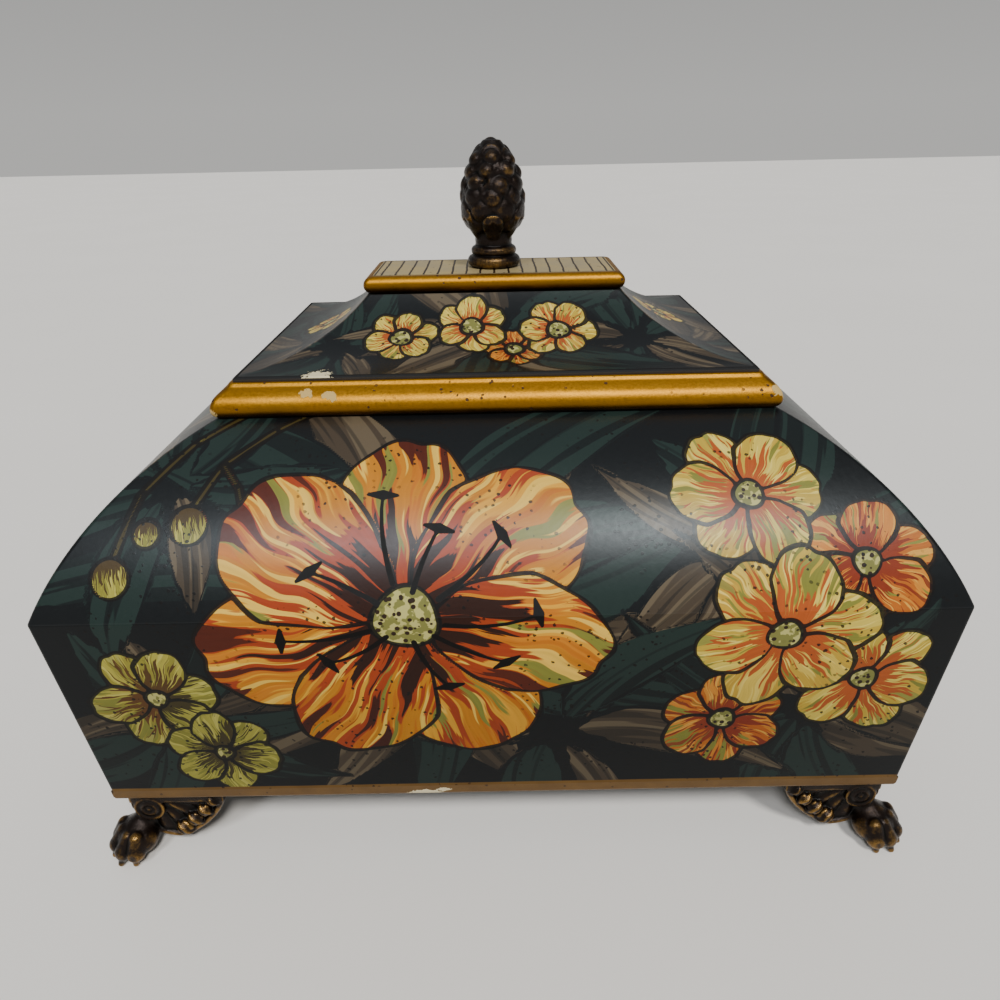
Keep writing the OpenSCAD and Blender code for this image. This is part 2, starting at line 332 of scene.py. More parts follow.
def column_places(half, step, corner):
    """Places along a side from -1 to 1, closer together where the mitred corner is rounded.

    A round of radius r cuts the corner back by (1 - sqrt(1/2)) r, which is CORNER_CUT r.
    """
    reach = half - CORNER_CUT * corner
    near = reach - corner * np.array([2.4, 1.6, 1.1, 0.75, 0.45, 0.2, 0.0])
    count = max(3, round(near[0] / step))
    right_half = np.concatenate([np.linspace(0, near[0], count, endpoint=False), near]) / reach
    return np.concatenate([-right_half[:0:-1], right_half])


def mitred_surface(side, section, step, corner):
    """A section (p, z) carried along a side and cut at 45 degrees at both ends.

    A point goes out by half the casket plus p and along by its share of the side's length
    at that p. Near a corner it is drawn in by r - sqrt(r^2 - (r - d)^2), which rounds it.
    """
    out_half, along_half = side_halves(side)
    u = column_places(along_half, step, corner)
    p = section[:, :1]
    along = u[None, :] * (along_half + p - CORNER_CUT * corner)
    from_end = np.clip(along_half + p - np.abs(along), 0, corner)
    out = out_half + p - (corner - np.sqrt(corner**2 - (corner - from_end) ** 2))
    z = np.broadcast_to(section[:, 1:], along.shape)
    turn = side * math.pi / 2
    x = along * math.cos(turn) + out * math.sin(turn)
    y = along * math.sin(turn) - out * math.cos(turn)
    return np.stack([x, y, z], -1), along


def put_bar(name, points, skins, skin_of, fields):
    """A mitred surface as a closed bar: its rows run round the section, and both ends get a cap."""
    rows, columns = points.shape[:2]
    start = np.arange(rows) * columns
    caps = [start, (start + columns - 1)[::-1]]
    quads = grid_quads(rows, columns, True)
    return put_mesh(name, points.reshape(-1, 3), quads, caps, skins, skin_of, fields)


def arc(centre, radius, start, end, count):
    """Points of an arc from one angle to another, in degrees."""
    angle = np.radians(np.linspace(start, end, count))
    return np.stack([centre[0] + radius * np.cos(angle), centre[1] + radius * np.sin(angle)], -1)


def line(start, end, count):
    """Points of a straight stretch, without its last one."""
    share = np.linspace(0, 1, count, endpoint=False)[:, None]
    return np.array(start) + share * (np.array(end) - np.array(start))


print("mesh helpers ready")

# %% [markdown]
# The painting. The walls carry blossoms and leaves in a few flat colours with dark outlines,
# under varnish. A texture image isn't used: the picture is a set of fields, each worked out
# as arrays over the points of a wall. A leaf or petal is laid over what is already there by
# keeping its signed distance (positive inside) and cutting the older fields back. The
# finish then turns distances into crisp edges and draws brush streaks along each petal.

# %% Canvas
PETAL_MIDDLE = 0.56
PETAL_HALF = 0.455
BERRY_HANGS = -80
TEAL_SHARE = 0.56


class Canvas:
    """Paint fields over the points of a wall: s runs along the side, t up from its foot."""

    LEAF_GAP = 0.7
    FAR = -9.0

    def __init__(self, s, t, seed):
        self.s = s
        self.t = t
        self.rng = np.random.default_rng(seed)
        names = ("teal", "taupe", "bloom", "heart", "dash_and_shade", "ink")
        self.edge = {name: np.full(s.shape, self.FAR) for name in names}
        self.edge["ink"] *= -1
        self.leaf = np.zeros(s.shape + (3,))
        self.petal = np.zeros(s.shape + (3,))
        self.tint = np.zeros(s.shape)

    def turned(self, place, heading):
        """Coordinates along and across a direction (radians) from a place on the wall."""
        ds = self.s - place[0]
        dt = self.t - place[1]
        return ds * np.cos(heading) + dt * np.sin(heading), dt * np.cos(heading) - ds * np.sin(heading)

    def cover(self, distance, names, gap=0.0):
        """Cuts older shapes back where a new one lies on them."""
        for name in names:
            self.edge[name] = np.minimum(self.edge[name], -distance - gap)

    def add(self, distance, name):
        self.edge[name] = np.maximum(self.edge[name], distance)

    def outline(self, distance):
        """Ink holds the distance to the nearest outline that still shows."""
        self.edge["ink"] = np.where(distance > 0, distance, np.minimum(self.edge["ink"], -distance))

    def note(self, field, here, run, side):
        """Keeps the shape's own coordinates where it lies, and one random mark for all of it."""
        mark = np.full(run.shape, self.rng.random())
        field[here] = np.stack([run, side, mark], -1)[here]

    def lay_leaf(self, kind, place, heading, length, width, bend):
        """A blade with half-width w sin(pi x^0.8) at the share x of its length, bent as x^2."""
        along, across = self.turned(place, np.radians(heading))
        across = across - bend * along * np.abs(along) / length
        share = np.clip(along / length, 0, 1)
        half = width * np.sin(np.pi * share**0.8)
        slope = width * np.pi * 0.8 * np.cos(np.pi * share**0.8) / length
        inside = (half - np.abs(across)) / np.sqrt(1 + slope**2)
        outside = -np.hypot(across, np.maximum(along - length, -along))
        distance = np.where((along > 0) & (along < length), inside, outside)
        self.cover(distance, ("teal", "taupe"), self.LEAF_GAP)
        self.add(distance, kind)
        self.note(self.leaf, distance > -self.LEAF_GAP, share, across / width)

    def lay_petal(self, distance, run, side, tint):
        """A petal covers what it lies on and leaves its outline."""
        self.outline(distance)
        self.add(distance, "bloom")
        self.cover(distance, ("heart", "dash_and_shade"))
        here = distance > -0.5
        self.note(self.petal, here, run, side)
        self.tint[here] = tint

    def lay_heart(self, place, radius):
        ds = self.s - place[0]
        dt = self.t - place[1]
        wobble = 1 + 0.05 * np.sin(3 * np.arctan2(dt, ds) + place[0])
        distance = radius * wobble - np.hypot(ds, dt)
        self.outline(distance)
        self.add(distance, "heart")
        self.add(distance, "bloom")

    def lay_stroke(self, points, start_width, end_width):
        """A dark brush line through a few points, thinner towards its end."""
        steps = len(points) - 1
        for k in range(steps):
            (s0, t0), (s1, t1) = points[k], points[k + 1]
            length = math.hypot(s1 - s0, t1 - t0)
            along = ((self.s - s0) * (s1 - s0) + (self.t - t0) * (t1 - t0)) / length**2
            along = np.clip(along, 0, 1)
            gap = np.hypot(self.s - s0 - along * (s1 - s0), self.t - t0 - along * (t1 - t0))
            width = start_width + (end_width - start_width) * (k + along) / steps
            self.add(width - gap, "dash_and_shade")


def egg_petal(canvas, along, across, length, half):
    """Distance to a petal's edge: an egg round its middle, with waves and a notch at the tip.

    The edge is where hypot(u / a, v / b) reaches 1, and b shrinks towards the heart.
    """
    rng = canvas.rng
    from_middle = along - PETAL_MIDDLE * length
    u = from_middle / (PETAL_HALF * length)
    v = across / half * (1 + 0.34 * np.clip(-u, 0, 1.6))
    angle = np.arctan2(v, u)
    notch_at = rng.uniform(-0.25, 0.25)
    edge = 1 - 0.06 * np.exp(-(((angle - notch_at) / 0.2) ** 2))
    edge = edge + 0.03 * np.sin(3 * angle + rng.uniform(0, 6)) + 0.012 * np.sin(9 * angle)
    polar = np.maximum(np.hypot(u, v), 1e-3)
    distance = (edge / polar - 1) * np.hypot(from_middle, across)
    return np.where(polar < 0.05, 0.4 * length, distance)


def lay_blossom(canvas, place, radius, count, tint, turn, squash=1.0, heart=0.16, stamens=0):
    """A ring of petals round a dotted heart: every other petal lies under its neighbours."""
    rng = canvas.rng
    for k in list(range(0, count, 2)) + list(range(1, count, 2)):
        heading = math.radians(turn + 360 * k / count + rng.uniform(-5, 5))
        length = radius * (rng.uniform(0.93, 1.05) * (1 - (1 - squash) * abs(math.sin(heading))))
        half = 1.27 * radius * math.tan(math.pi / count) * PETAL_MIDDLE * rng.uniform(0.93, 1.07)
        along, across = canvas.turned(place, heading)
        across = across + rng.uniform(-0.08, 0.08) * along * along / length
        distance = egg_petal(canvas, along, across, length, half)
        run = np.hypot(along, across) / length
        side = across / (0.3 * length + 0.5 * np.clip(along, 0, None))
        canvas.lay_petal(distance, run, side, tint + rng.uniform(-0.04, 0.04))
    for k in range(stamens):
        heading = turn + 360 * (k + 0.5) / stamens + rng.uniform(-12, 12)
        lay_stamen(canvas, place, math.radians(heading), radius, squash)
    canvas.lay_heart(place, radius * heart)


def lay_stamen(canvas, place, heading, radius, squash):
    """A thin curved line out of the heart that ends in a short cross stroke."""
    rng = canvas.rng
    reach = radius * rng.uniform(0.46, 0.64)
    bow = rng.uniform(0.08, 0.26) * rng.choice([-1, 1])
    share = np.array([0.3, 0.45, 0.6, 0.75, 0.88, 1.0])
    angle = heading + bow * share**2
    s = place[0] + reach * share * np.cos(angle)
    t = place[1] + squash * reach * share * np.sin(angle)
    canvas.lay_stroke(list(zip(s, t)), radius * 0.014, radius * 0.007)
    cross = heading + bow + math.radians(rng.uniform(60, 110))
    size = radius * 0.07
    ends = [(s[-1] + w * size * math.cos(cross), t[-1] + w * size * math.sin(cross)) for w in (-1, 0, 1)]
    canvas.lay_stroke(ends[:2], radius * 0.008, radius * 0.026)
    canvas.lay_stroke(ends[1:], radius * 0.026, radius * 0.008)


def lay_berry(canvas, place, radius):
    """A round berry, streaked from its stalk to its tip."""
    along, across = canvas.turned(place, math.radians(BERRY_HANGS))
    distance = radius - np.hypot(along, across * 1.08)
    canvas.lay_petal(distance, 0.5 + 0.5 * along / radius, across / radius, 0.95)


def lay_stalk(canvas, points, width):
    """An outlined stalk through a few points, drawn as short overlapping strokes."""
    for (s0, t0), (s1, t1) in zip(points, points[1:]):
        length = math.hypot(s1 - s0, t1 - t0)
        along, across = canvas.turned((s0, t0), math.atan2(t1 - t0, s1 - s0))
        past = along - np.clip(along, 0, length)
        distance = width - np.hypot(past, across)
        canvas.lay_petal(distance, 0.1 + 0.2 * along / length, across / width, 1.0)


def lay_leafage(canvas, around, count, length, width):
    """A fan of blades that starts behind a blossom and bends as it goes out."""
    rng = canvas.rng
    start = rng.uniform(0, 360)
    for k in range(count):
        heading = start + 360 * k / count + rng.uniform(-14, 14)
        kind = "teal" if rng.random() < TEAL_SHARE else "taupe"
        size = length * rng.uniform(0.7, 1.25)
        angle = math.radians(heading)
        place = (around[0] + 0.12 * size * math.cos(angle), around[1] + 0.12 * size * math.sin(angle))
        bend = rng.uniform(0.15, 0.6) * rng.choice([-1, 1])
        wide = width * rng.uniform(0.8, 1.35) * (1.0 if kind == "teal" else 0.85)
        canvas.lay_leaf(kind, place, heading, size, wide, bend)


print("canvas ready")

# %% [markdown]
# What is painted where. Each wall has its own plan: a place is a distance along the side and
# one up the wall, both in millimetres. The front's main blossom straddles the belt. What is
# laid later lies on top, so the leaves come first and the large blossoms last.

# %% Plans of the walls and the lid
# leafage: around, count, length, width; stalks: points, width; berries: place, radius;
# small: place, radius, tint, turn, heart; large: the same with squash before the heart and
# the number of stamens after it.
FRONT = {
    "leafage": [((-34, 90), 17, 118, 17), ((96, 112), 9, 70, 11), ((-128, 40), 8, 58, 10),
                ((118, 40), 9, 62, 11), ((-120, 140), 7, 60, 10), ((20, 30), 6, 70, 11)],
    "stalks": [([(-70, 176), (-86, 164), (-103, 148), (-112, 130)], 1.3),
               ([(-96, 176), (-116, 158), (-132, 136), (-139, 112)], 1.3),
               ([(-103, 148), (-96, 138), (-93, 127)], 1.2)],
    "berries": [((-113, 124), 7.5), ((-92, 122), 6.5), ((-140, 105), 7.5), ((-128, 121), 5.5)],
    "small": [((-132, 52), 25, 0.95, 10, 0.17), ((-112, 22), 22, 0.98, 40, 0.17),
              ((132, 106), 25, 0.36, 20, 0.2), ((92, 132), 29, 0.68, 0, 0.19),
              ((137, 56), 27, 0.7, 50, 0.19), ((86, 36), 25, 0.36, 30, 0.2),
              ((104, 78), 34, 0.66, 12, 0.19)],
    "large": [((-34, 88), 79, 0.08, 96, 0.93, 0.155, 9)],
}
BACK = {
    "leafage": [((-84, 88), 13, 92, 15), ((74, 96), 13, 92, 15), ((0, 30), 8, 60, 11),
                ((0, 140), 7, 62, 11)],
    "small": [((6, 132), 24, 0.7, 20, 0.19), ((-12, 48), 27, 0.36, 0, 0.2),
              ((136, 46), 24, 0.96, 0, 0.17), ((-138, 122), 20, 0.95, 30, 0.17)],
    "large": [((-84, 84), 55, 0.1, 70, 0.95, 0.16, 7), ((74, 100), 50, 0.12, 100, 0.95, 0.16, 7)],
}
RIGHT = {
    "leafage": [((22, 86), 14, 96, 15), ((-92, 50), 8, 60, 11), ((-60, 130), 8, 66, 12),
                ((100, 40), 7, 52, 10)],
    "small": [((-98, 64), 25, 0.68, 20, 0.19), ((-70, 34), 24, 0.36, 50, 0.2),
              ((108, 40), 21, 0.96, 50, 0.17)],
    "large": [((26, 88), 54, 0.1, 80, 0.95, 0.16, 7)],
}
LEFT = {
    "leafage": [((-30, 84), 14, 96, 15), ((90, 60), 8, 62, 11), ((58, 136), 8, 62, 12),
                ((-104, 110), 7, 52, 10)],
    "small": [((82, 104), 23, 0.36, 10, 0.2), ((96, 62), 26, 0.68, 30, 0.19),
              ((62, 34), 22, 0.96, 5, 0.17)],
    "large": [((-32, 86), 52, 0.1, 60, 0.95, 0.16, 7)],
}
LID_FRONT = {
    "leafage": [((-66, 24), 9, 50, 8), ((60, 26), 9, 50, 8), ((0, 28), 11, 56, 9)],
    "small": [((-40, 30), 16, 0.7, 15, 0.3), ((8, 21), 13, 0.38, 40, 0.3),
              ((27, 33), 17, 0.66, 0, 0.29), ((-10, 36), 16, 0.7, 30, 0.3)],
    "foot_line": 1.3,
}
LID_SIDE = {
    "leafage": [((-40, 20), 9, 52, 9), ((34, 24), 9, 52, 9)],
    "small": [((4, 27), 14, 0.7, 10, 0.3)],
    "foot_line": 1.3,
}
WALL_PLANS = [FRONT, RIGHT, BACK, LEFT]
LID_PLANS = [LID_FRONT, LID_SIDE, LID_FRONT, LID_SIDE]


def paint(canvas, plan):
    """Carries out a plan; the foot entry is painted shadow: a dark edge along the foot of a lid panel."""
    for around, count, length, width in plan["leafage"]:
        lay_leafage(canvas, around, count, length, width)
    for points, width in plan.get("stalks", []):
        lay_stalk(canvas, points, width)
    for place, radius in plan.get("berries", []):
        lay_berry(canvas, place, radius)
    for place, radius, tint, turn, heart in plan["small"]:
        lay_blossom(canvas, place, radius, 6, tint, turn, heart=heart)
    for place, radius, tint, turn, squash, heart, stamens in plan.get("large", []):
        lay_blossom(canvas, place, radius, 7, tint, turn, squash, heart, stamens)
    # Painted shadow: a dark line along the foot of a lid panel, for the shaded gap over the moulding.
    if "foot_line" in plan:
        canvas.add(plan["foot_line"] - canvas.t, "dash_and_shade")


print("small blossoms on the walls:", [len(plan["small"]) for plan in WALL_PLANS])

# %% [markdown]
# The varnished paint. The real wall is black-green under a layer of leaves, then blossoms in
# three or four opaque colours, pulled with a dry brush from the heart to the tip. The streaks
# are noise stretched along each petal and cut hard, as a brush stroke has a hard edge. A
# blossom's tint picks its colours from five ramps: amber at 0, brick, straw, and olive at 1.
# The outlines are ink where the distance is small, in a width that swells and shrinks.

# %% Painted finish
GROUND = "#0e0f10"
TEAL = "#1d2a26"
TAUPE = "#40362a"
PALE_TAUPE = "#6b5e49"
INK = "#0f0b09"
OLIVE = "#77762f"
CREAM = "#d9cda6"
UMBER = "#2a130a"
BAND_GOLD = ("#4e3614", "#6e5127")
BAND_FLECK = "#2c1a0c"
BAND_TOP = BASE_TOP + 1.5
TINTS = (0.0, 0.36, 0.68, 0.96)
PETALS = {
    "base": ("#b97b12", "#a85316", "#b79a34", "#7d792e"),
    "light": ("#d39d26", "#bf7424", "#cbb44c", "#98923c"),
    "pale": ("#dfbb4c", "#cc9038", "#d9c360", "#aca550"),
    "deep": ("#9c3c15", "#772a14", "#a54f1e", "#3a3116"),
    "tip": (UMBER, "#7a2c14", "#88853a", "#97924a"),
}


def streaks(recipe, side, run, mark, across, along, key):
    """Noise in petal coordinates, much longer along the petal than across it."""
    spot = recipe.join(side * across, run * along, mark * 17.0 + key)
    return recipe.noise(spot, 1.0, 1.0, 0.4)


def leaf_colours(recipe):
    """Ground, then teal and taupe blades where their distance, roughened by noise, is over 0."""
    share, side, mark = recipe.split(recipe.field("leaf"))
    teal, taupe, _ = recipe.split(recipe.field("leaves"))
    ragged = streaks(recipe, side, share, mark, 3.2, 2.0, 1.0)
    hair = streaks(recipe, side, share, mark, 3.3, 1.1, 5.0)
    vein = abs(side + 0.02).above(0.05, 0.04)
    teal_on = (teal + (ragged - 0.5) * 7.0).above(0.4, 0.25)
    taupe_on = (taupe + (ragged - 0.5) * 5.0).above(0.3, 0.25)
    dark_hair = hair.above(0.55, 0.03)
    colour = recipe.mix(teal_on, GROUND, TEAL)
    colour = recipe.mix(teal_on * dark_hair * 0.8, colour, GROUND)
    colour = recipe.mix(taupe_on, colour, TAUPE)
    colour = recipe.mix(taupe_on * hair.below(0.42, 0.04) * 0.55, colour, PALE_TAUPE)
    colour = recipe.mix(taupe_on * dark_hair * 0.5, colour, GROUND)
    return recipe.mix((teal_on + taupe_on) * (1.0 - vein) * 0.5, colour, GROUND)


def petal_colours(recipe):
    """Five tones of one tint, each laid on where a streaky noise passes its threshold."""
    run, side, mark = recipe.split(recipe.field("petal"))
    tint = recipe.field("tint", 2)
    base, light, pale, deep, tip = (
        recipe.node("ValToRGB", {"stops": list(zip(TINTS, codes))}, {0: tint})
        for codes in PETALS.values()
    )
    sway = recipe.noise(recipe.join(run * 2.3, mark * 31.0, side * 1.2), 1.0, 1.0)
    side = side + (sway - 0.5) * 0.42
    hair = streaks(recipe, side, run, mark, 40.0, 3.0, 13.0)
    dry = (hair - 0.5) * 0.14
    wide = streaks(recipe, side, run, mark, 3.6, 0.8, 2.0) + dry
    fine = streaks(recipe, side, run, mark, 7.0, 1.1, 7.0) + dry
    thin = streaks(recipe, side, run, mark, 12.0, 1.3, 9.0) + dry
    sharp = streaks(recipe, side, run, mark, 9.5, 1.2, 11.0) + dry
    big = tint.below(0.22, 0.1)
    colour = recipe.mix(wide.above(0.5, 0.03), base, light)
    colour = recipe.mix(thin.above(0.585, 0.03), colour, pale)
    wash = (run * 0.5 + wide * 0.9 + (sharp - 0.5) * 1.2).above(0.93, 0.03)
    colour = recipe.mix(wash * big, colour, deep)
    colour = recipe.mix(thin.below(0.4, 0.03) * big * 0.75, colour, "#b36414")
    colour = recipe.mix(fine.above(0.61, 0.02) * run.above(0.3, 0.1), colour, OLIVE)
    colour = recipe.mix(sharp.above(0.6, 0.02), colour, deep)
    colour = recipe.mix((run + (sharp - 0.5) * (1.6 + 0.9 * big)).above(1.08, 0.03), colour, tip)
    glow = (run + (sharp - 0.5) * 1.7).below(0.42, 0.04)
    colour = recipe.mix(glow, colour, deep)
    throat = (run + (sharp - 0.5) * 1.3 + (thin - 0.5) * 0.9).below(0.3, 0.03) * big
    colour = recipe.mix(throat, colour, UMBER)
    return recipe.shade(colour, 0.82 + 0.36 * hair)


def heart_colours(recipe, spot):
    """Two greens in patches, with dark dots."""
    grain = recipe.noise(spot, 0.35, 2.0)
    colour = recipe.mix(grain.above(0.52, 0.05), "#74733a", "#b0aa66")
    dots = recipe.specks(spot, 2.6, 0.36, 0.9, 0.06)
    return recipe.mix(dots, colour, "#2b1d10")


def chip_mask(recipe, spot, chips):
    """Ragged spots at a few places: 1 where the distance to a place, over its size, is under 1."""
    ragged = recipe.noise(spot, 0.45, 3.0, 0.7)
    mask = None
    for place, size in chips:
        near = recipe.vector("SUBTRACT", {0: spot, 1: place})
        flat = recipe.vector("DIVIDE", {0: near, 1: size})
        length = recipe.vector("LENGTH", {0: flat}, 1)
        here = (length + (ragged - 0.5) * 2.2).below(1.0, 0.12)
        mask = here if mask is None else mask + here
    return mask.above(0.5, 0.5)


def painted_finish(name, shine):
    """The paint under its varnish; along the foot of the walls the gilding laps over it."""
    # Painted light: the varnish's reflections are tinted cool, standing in for bluish lamplight.
    recipe = Recipe(name, IOR=1.5, Specular_IOR_Level=shine, Specular_Tint=(0.86, 0.95, 1.0, 1.0))
    spot = recipe.place()
    dash_and_shade = recipe.split(recipe.field("leaves"))[2]
    ink, bloom_edge, heart = recipe.split(recipe.field("marks"))
    colour = leaf_colours(recipe)
    colour = recipe.mix(bloom_edge.above(0.0, 0.2), colour, petal_colours(recipe))
    colour = recipe.mix(heart.above(0.0, 0.2), colour, heart_colours(recipe, spot))
    # Ink for the stamen strokes, and painted shadow along the foot of the lid panels.
    colour = recipe.mix(dash_and_shade.above(0.0, 0.25), colour, INK)
    swell = recipe.noise(spot, 0.06, 2.0)
    outline = ink.below(0.1 + swell * 1.5, 0.25)
    colour = recipe.mix(outline * 0.96, colour, INK)
    cluster = recipe.noise(spot, 0.035, 2.0).above(0.49, 0.12)
    flecks = recipe.specks(recipe.bent(spot), 2.9, 0.22, 0.75, 0.04) * cluster
    colour = recipe.mix(flecks * 0.9, colour, INK)
    z = recipe.split(spot)[2]
    # Painted shade: the paint gets darker towards the foot of the lower boards, which face a little
    # downward, away from the lamps.
    colour = recipe.shade(colour, 1.0 - 0.36 * z.below(BELT_Z - 28.0, 60.0))
    wander = recipe.noise(spot, 0.03, 2.0)
    strip = z.below(BAND_TOP + (wander - 0.5) * 0.6, 0.3)
    gold = recipe.mix(swell, *BAND_GOLD)
    colour = recipe.mix(strip, colour, recipe.mix(flecks, gold, BAND_FLECK))
    chipped = chip_mask(recipe, spot, [((-70.5, -71.5, 195.4), (5.5, 9.0, 1.5))])
    colour = recipe.mix(chipped, colour, CREAM)
    brush = recipe.noise(spot, 0.5, 3.0, 0.6)
    rough = 0.29 + 0.1 * brush + 0.35 * (dash_and_shade.above(0.0, 0.25) + chipped)
    relief = recipe.bump(brush + flecks * 0.6 - chipped * 3.0, 0.12, 0.0002)
    return recipe.finish(Base_Color=colour, Metallic=strip * 0.45, Roughness=rough, Normal=relief)


# The lower boards have lost more of their varnish than the shoulders and the lid.
PAINTED = painted_finish("painted_board", 0.3)
DULLER = painted_finish("painted_lower_board", 0.13)
print("materials:", PAINTED.name, DULLER.name)

# %% [markdown]
# Plain dark paint, for the inside of the casket and the battens under the lid: a brushed
# coat on wood, with its grain just showing.

# %% Dark paint


def dark_finish():
    recipe = Recipe("dark_wood", IOR=1.45)
    spot = recipe.place()
    x, y, z = recipe.split(spot)
    grain = recipe.noise(recipe.join(x * 0.05, y * 0.05, z * 0.6), 1.0, 4.0, 0.6)
    patch = recipe.noise(spot, 0.02, 2.0)
    colour = recipe.mix(grain, "#1b1815", "#2f2822")
    colour = recipe.shade(colour, 0.8 + 0.4 * patch)
    relief = recipe.bump(grain, 0.3, 0.0003)
    return recipe.finish(Base_Color=colour, Roughness=0.5 + 0.2 * grain, Normal=relief)


DARK = dark_finish()

# %% [markdown]
# Antique gold: bronze powder paint over gesso, toned with a brown glaze in a noisy mottle, and
# painted darker on the underside and the sloping shoulder as shade; flecked with dark brown,
# and chipped to the cream ground along the edges.

# %% Gold finishes


def gold_finish(name, chips):
    """Gilding under a glaze and painted shade; a chip is a place and its half sizes, in millimetres."""
    recipe = Recipe(name, IOR=1.5)
    spot = recipe.place()
    glaze = recipe.field("glaze", 2)
    cloud = recipe.noise(spot, 0.05, 3.0, 0.6)
    grain = recipe.noise(spot, 0.9, 4.0, 0.75)
    # Painted shade with the glaze: brown where the field is high, on undersides and sloping shoulders.
    shade_and_glaze_mask = (glaze + (cloud - 0.5) * 0.6 + (grain - 0.5) * 0.5).above(0.5, 0.9)
    gold = recipe.mix(cloud, "#86580c", "#b98622")
    colour = recipe.mix(shade_and_glaze_mask, gold, "#3a240c")
    colour = recipe.shade(colour, 0.3 + 1.4 * grain)
    spots = recipe.specks(recipe.bent(spot), 3.2, 0.2, 0.6)
    flecks = spots * recipe.noise(spot, 0.06, 2.0).above(0.5, 0.1)
    colour = recipe.mix(flecks * 0.9, colour, "#2a1106")
    chipped = chip_mask(recipe, spot, chips)
    colour = recipe.mix(chipped * 0.85, colour, "#c4a765")
    bare = (1.0 - chipped) * (1.0 - 0.5 * flecks)
    relief = recipe.bump(grain * 0.5 - chipped * 1.0 - flecks * 0.6, 0.5, 0.0003)
    return recipe.finish(
        Base_Color=colour,
        Metallic=bare,
        Roughness=0.36 + 0.16 * grain + 0.3 * (1.0 - bare),
        Normal=relief,
    )


MOULDING_GOLD = gold_finish("antique_gold", [
    ((-74.5, -79.0, 191.0), (2.8, 7.0, 1.3)),
    ((-65.0, -81.0, 190.0), (3.3, 7.0, 1.7)),
    ((-112.0, -79.0, 184.0), (2.2, 2.2, 2.2)),
    ((111.0, -78.0, 189.0), (3.0, 2.5, 3.0)),
])
BEAD_GOLD = gold_finish("antique_gold_bead", [((56.5, 20.0, 221.0), (1.6, 1.6, 1.6))])


def edge_band_finish():
    """The bottom board: gilded where it faces out, dark above and below."""
    recipe = Recipe("gilded_edge", IOR=1.5)
    spot = recipe.place()
    z = recipe.split(spot)[2]
    facing = recipe.node("NewGeometry", None, None, 1)
    upward = abs(recipe.split(facing)[2])
    outward = upward.below(0.8, 0.15)
    cloud = recipe.noise(spot, 0.12, 3.0, 0.6)
    grain = recipe.noise(spot, 1.2, 3.0, 0.6)
    gold = recipe.mix(cloud, *BAND_GOLD)
    gold = recipe.mix(z.below(BASE_Z + 1.3, 0.6) * 0.6, gold, "#9c7c48")
    gold = recipe.shade(gold, 0.8 + 0.4 * grain)
    flecks = recipe.specks(spot, 4.0, 0.15, 0.35)
    gold = recipe.mix(flecks * 0.8, gold, BAND_FLECK)
    chipped = chip_mask(recipe, spot, [
        ((-33.0, -131.0, 33.5), (7.0, 4.0, 1.6)),
        ((-25.0, -131.0, 35.0), (3.0, 4.0, 1.0)),
    ]) * outward
    dark = recipe.mix(cloud, "#1a1613", "#2a221c")
    colour = recipe.mix(outward, dark, gold)
    colour = recipe.mix(chipped * 0.8, colour, CREAM)
    relief = recipe.bump(grain * 0.3 - chipped, 0.4, 0.0003)
    return recipe.finish(
        Base_Color=colour,
        Metallic=0.45 * outward * (1.0 - chipped),
        Roughness=0.42 + 0.2 * grain,
        Normal=relief,
    )


EDGE_BAND = edge_band_finish()
print("gold materials:", MOULDING_GOLD.name, BEAD_GOLD.name, EDGE_BAND.name)

# %% [markdown]
# The plate under the finial is champagne paint with dark pinstripes ruled from front to back
# by hand, inside a dark border line. The stripes wander a little and change in width.

# %% Striped finish
STRIPE_PITCH = 6.2


def striped_finish():
    recipe = Recipe("striped_champagne", IOR=1.5)
    spot = recipe.place()
    x, y, _ = recipe.split(spot)
    wander = recipe.noise(spot, 0.05, 2.0)
    shaky = recipe.noise(spot, 0.5, 2.0)
    shaken = x + (wander - 0.5) * 1.4 + (shaky - 0.5) * 0.5
    shifted = (shaken + STRIPE_PITCH * 40.5) * (1 / STRIPE_PITCH)
    phase = recipe.node("Math", {"operation": "FRACT"}, {0: shifted})
    stripe = abs(phase - 0.5).below(0.058 + 0.03 * shaky, 0.02)
    border = plate_high[1] - 1.5
    inner_y = abs(y).below(border, 0.15)
    line_y = abs(y).above(border, 0.15) * abs(y).below(border + 0.8, 0.15)
    border_x = plate_high[0] - 1.5
    line_x = abs(x).above(border_x, 0.15) * abs(x).below(border_x + 0.8, 0.15) * inner_y
    lines = (stripe * inner_y * abs(x).below(border_x, 0.15) + line_y + line_x).above(0.5, 0.3)
    cloud = recipe.noise(spot, 0.06, 3.0, 0.6)
    grain = recipe.noise(spot, 1.5, 3.0, 0.7)
    ground = recipe.mix(cloud.above(0.5, 0.5), "#a59673", "#b8a26a")
    ground = recipe.shade(ground, 0.85 + 0.3 * grain)
    flecks = recipe.specks(spot, 3.6, 0.14, 0.35)
    colour = recipe.mix((flecks * 0.8 + lines).above(0.5, 0.6), ground, "#2c1f14")
    relief = recipe.bump(grain * 0.3 + lines * 0.5, 0.3, 0.0002)
    return recipe.finish(Base_Color=colour, Metallic=0.25, Roughness=0.4 + 0.15 * grain, Normal=relief)


STRIPED = striped_finish()

# %% [markdown]
# The castings are dark and patinated, rubbed to a coppery gold where hands and cloths reach.
# Each casting carries a field, relief, that is high on its bumps and low in its hollows.

# %% Bronze finish


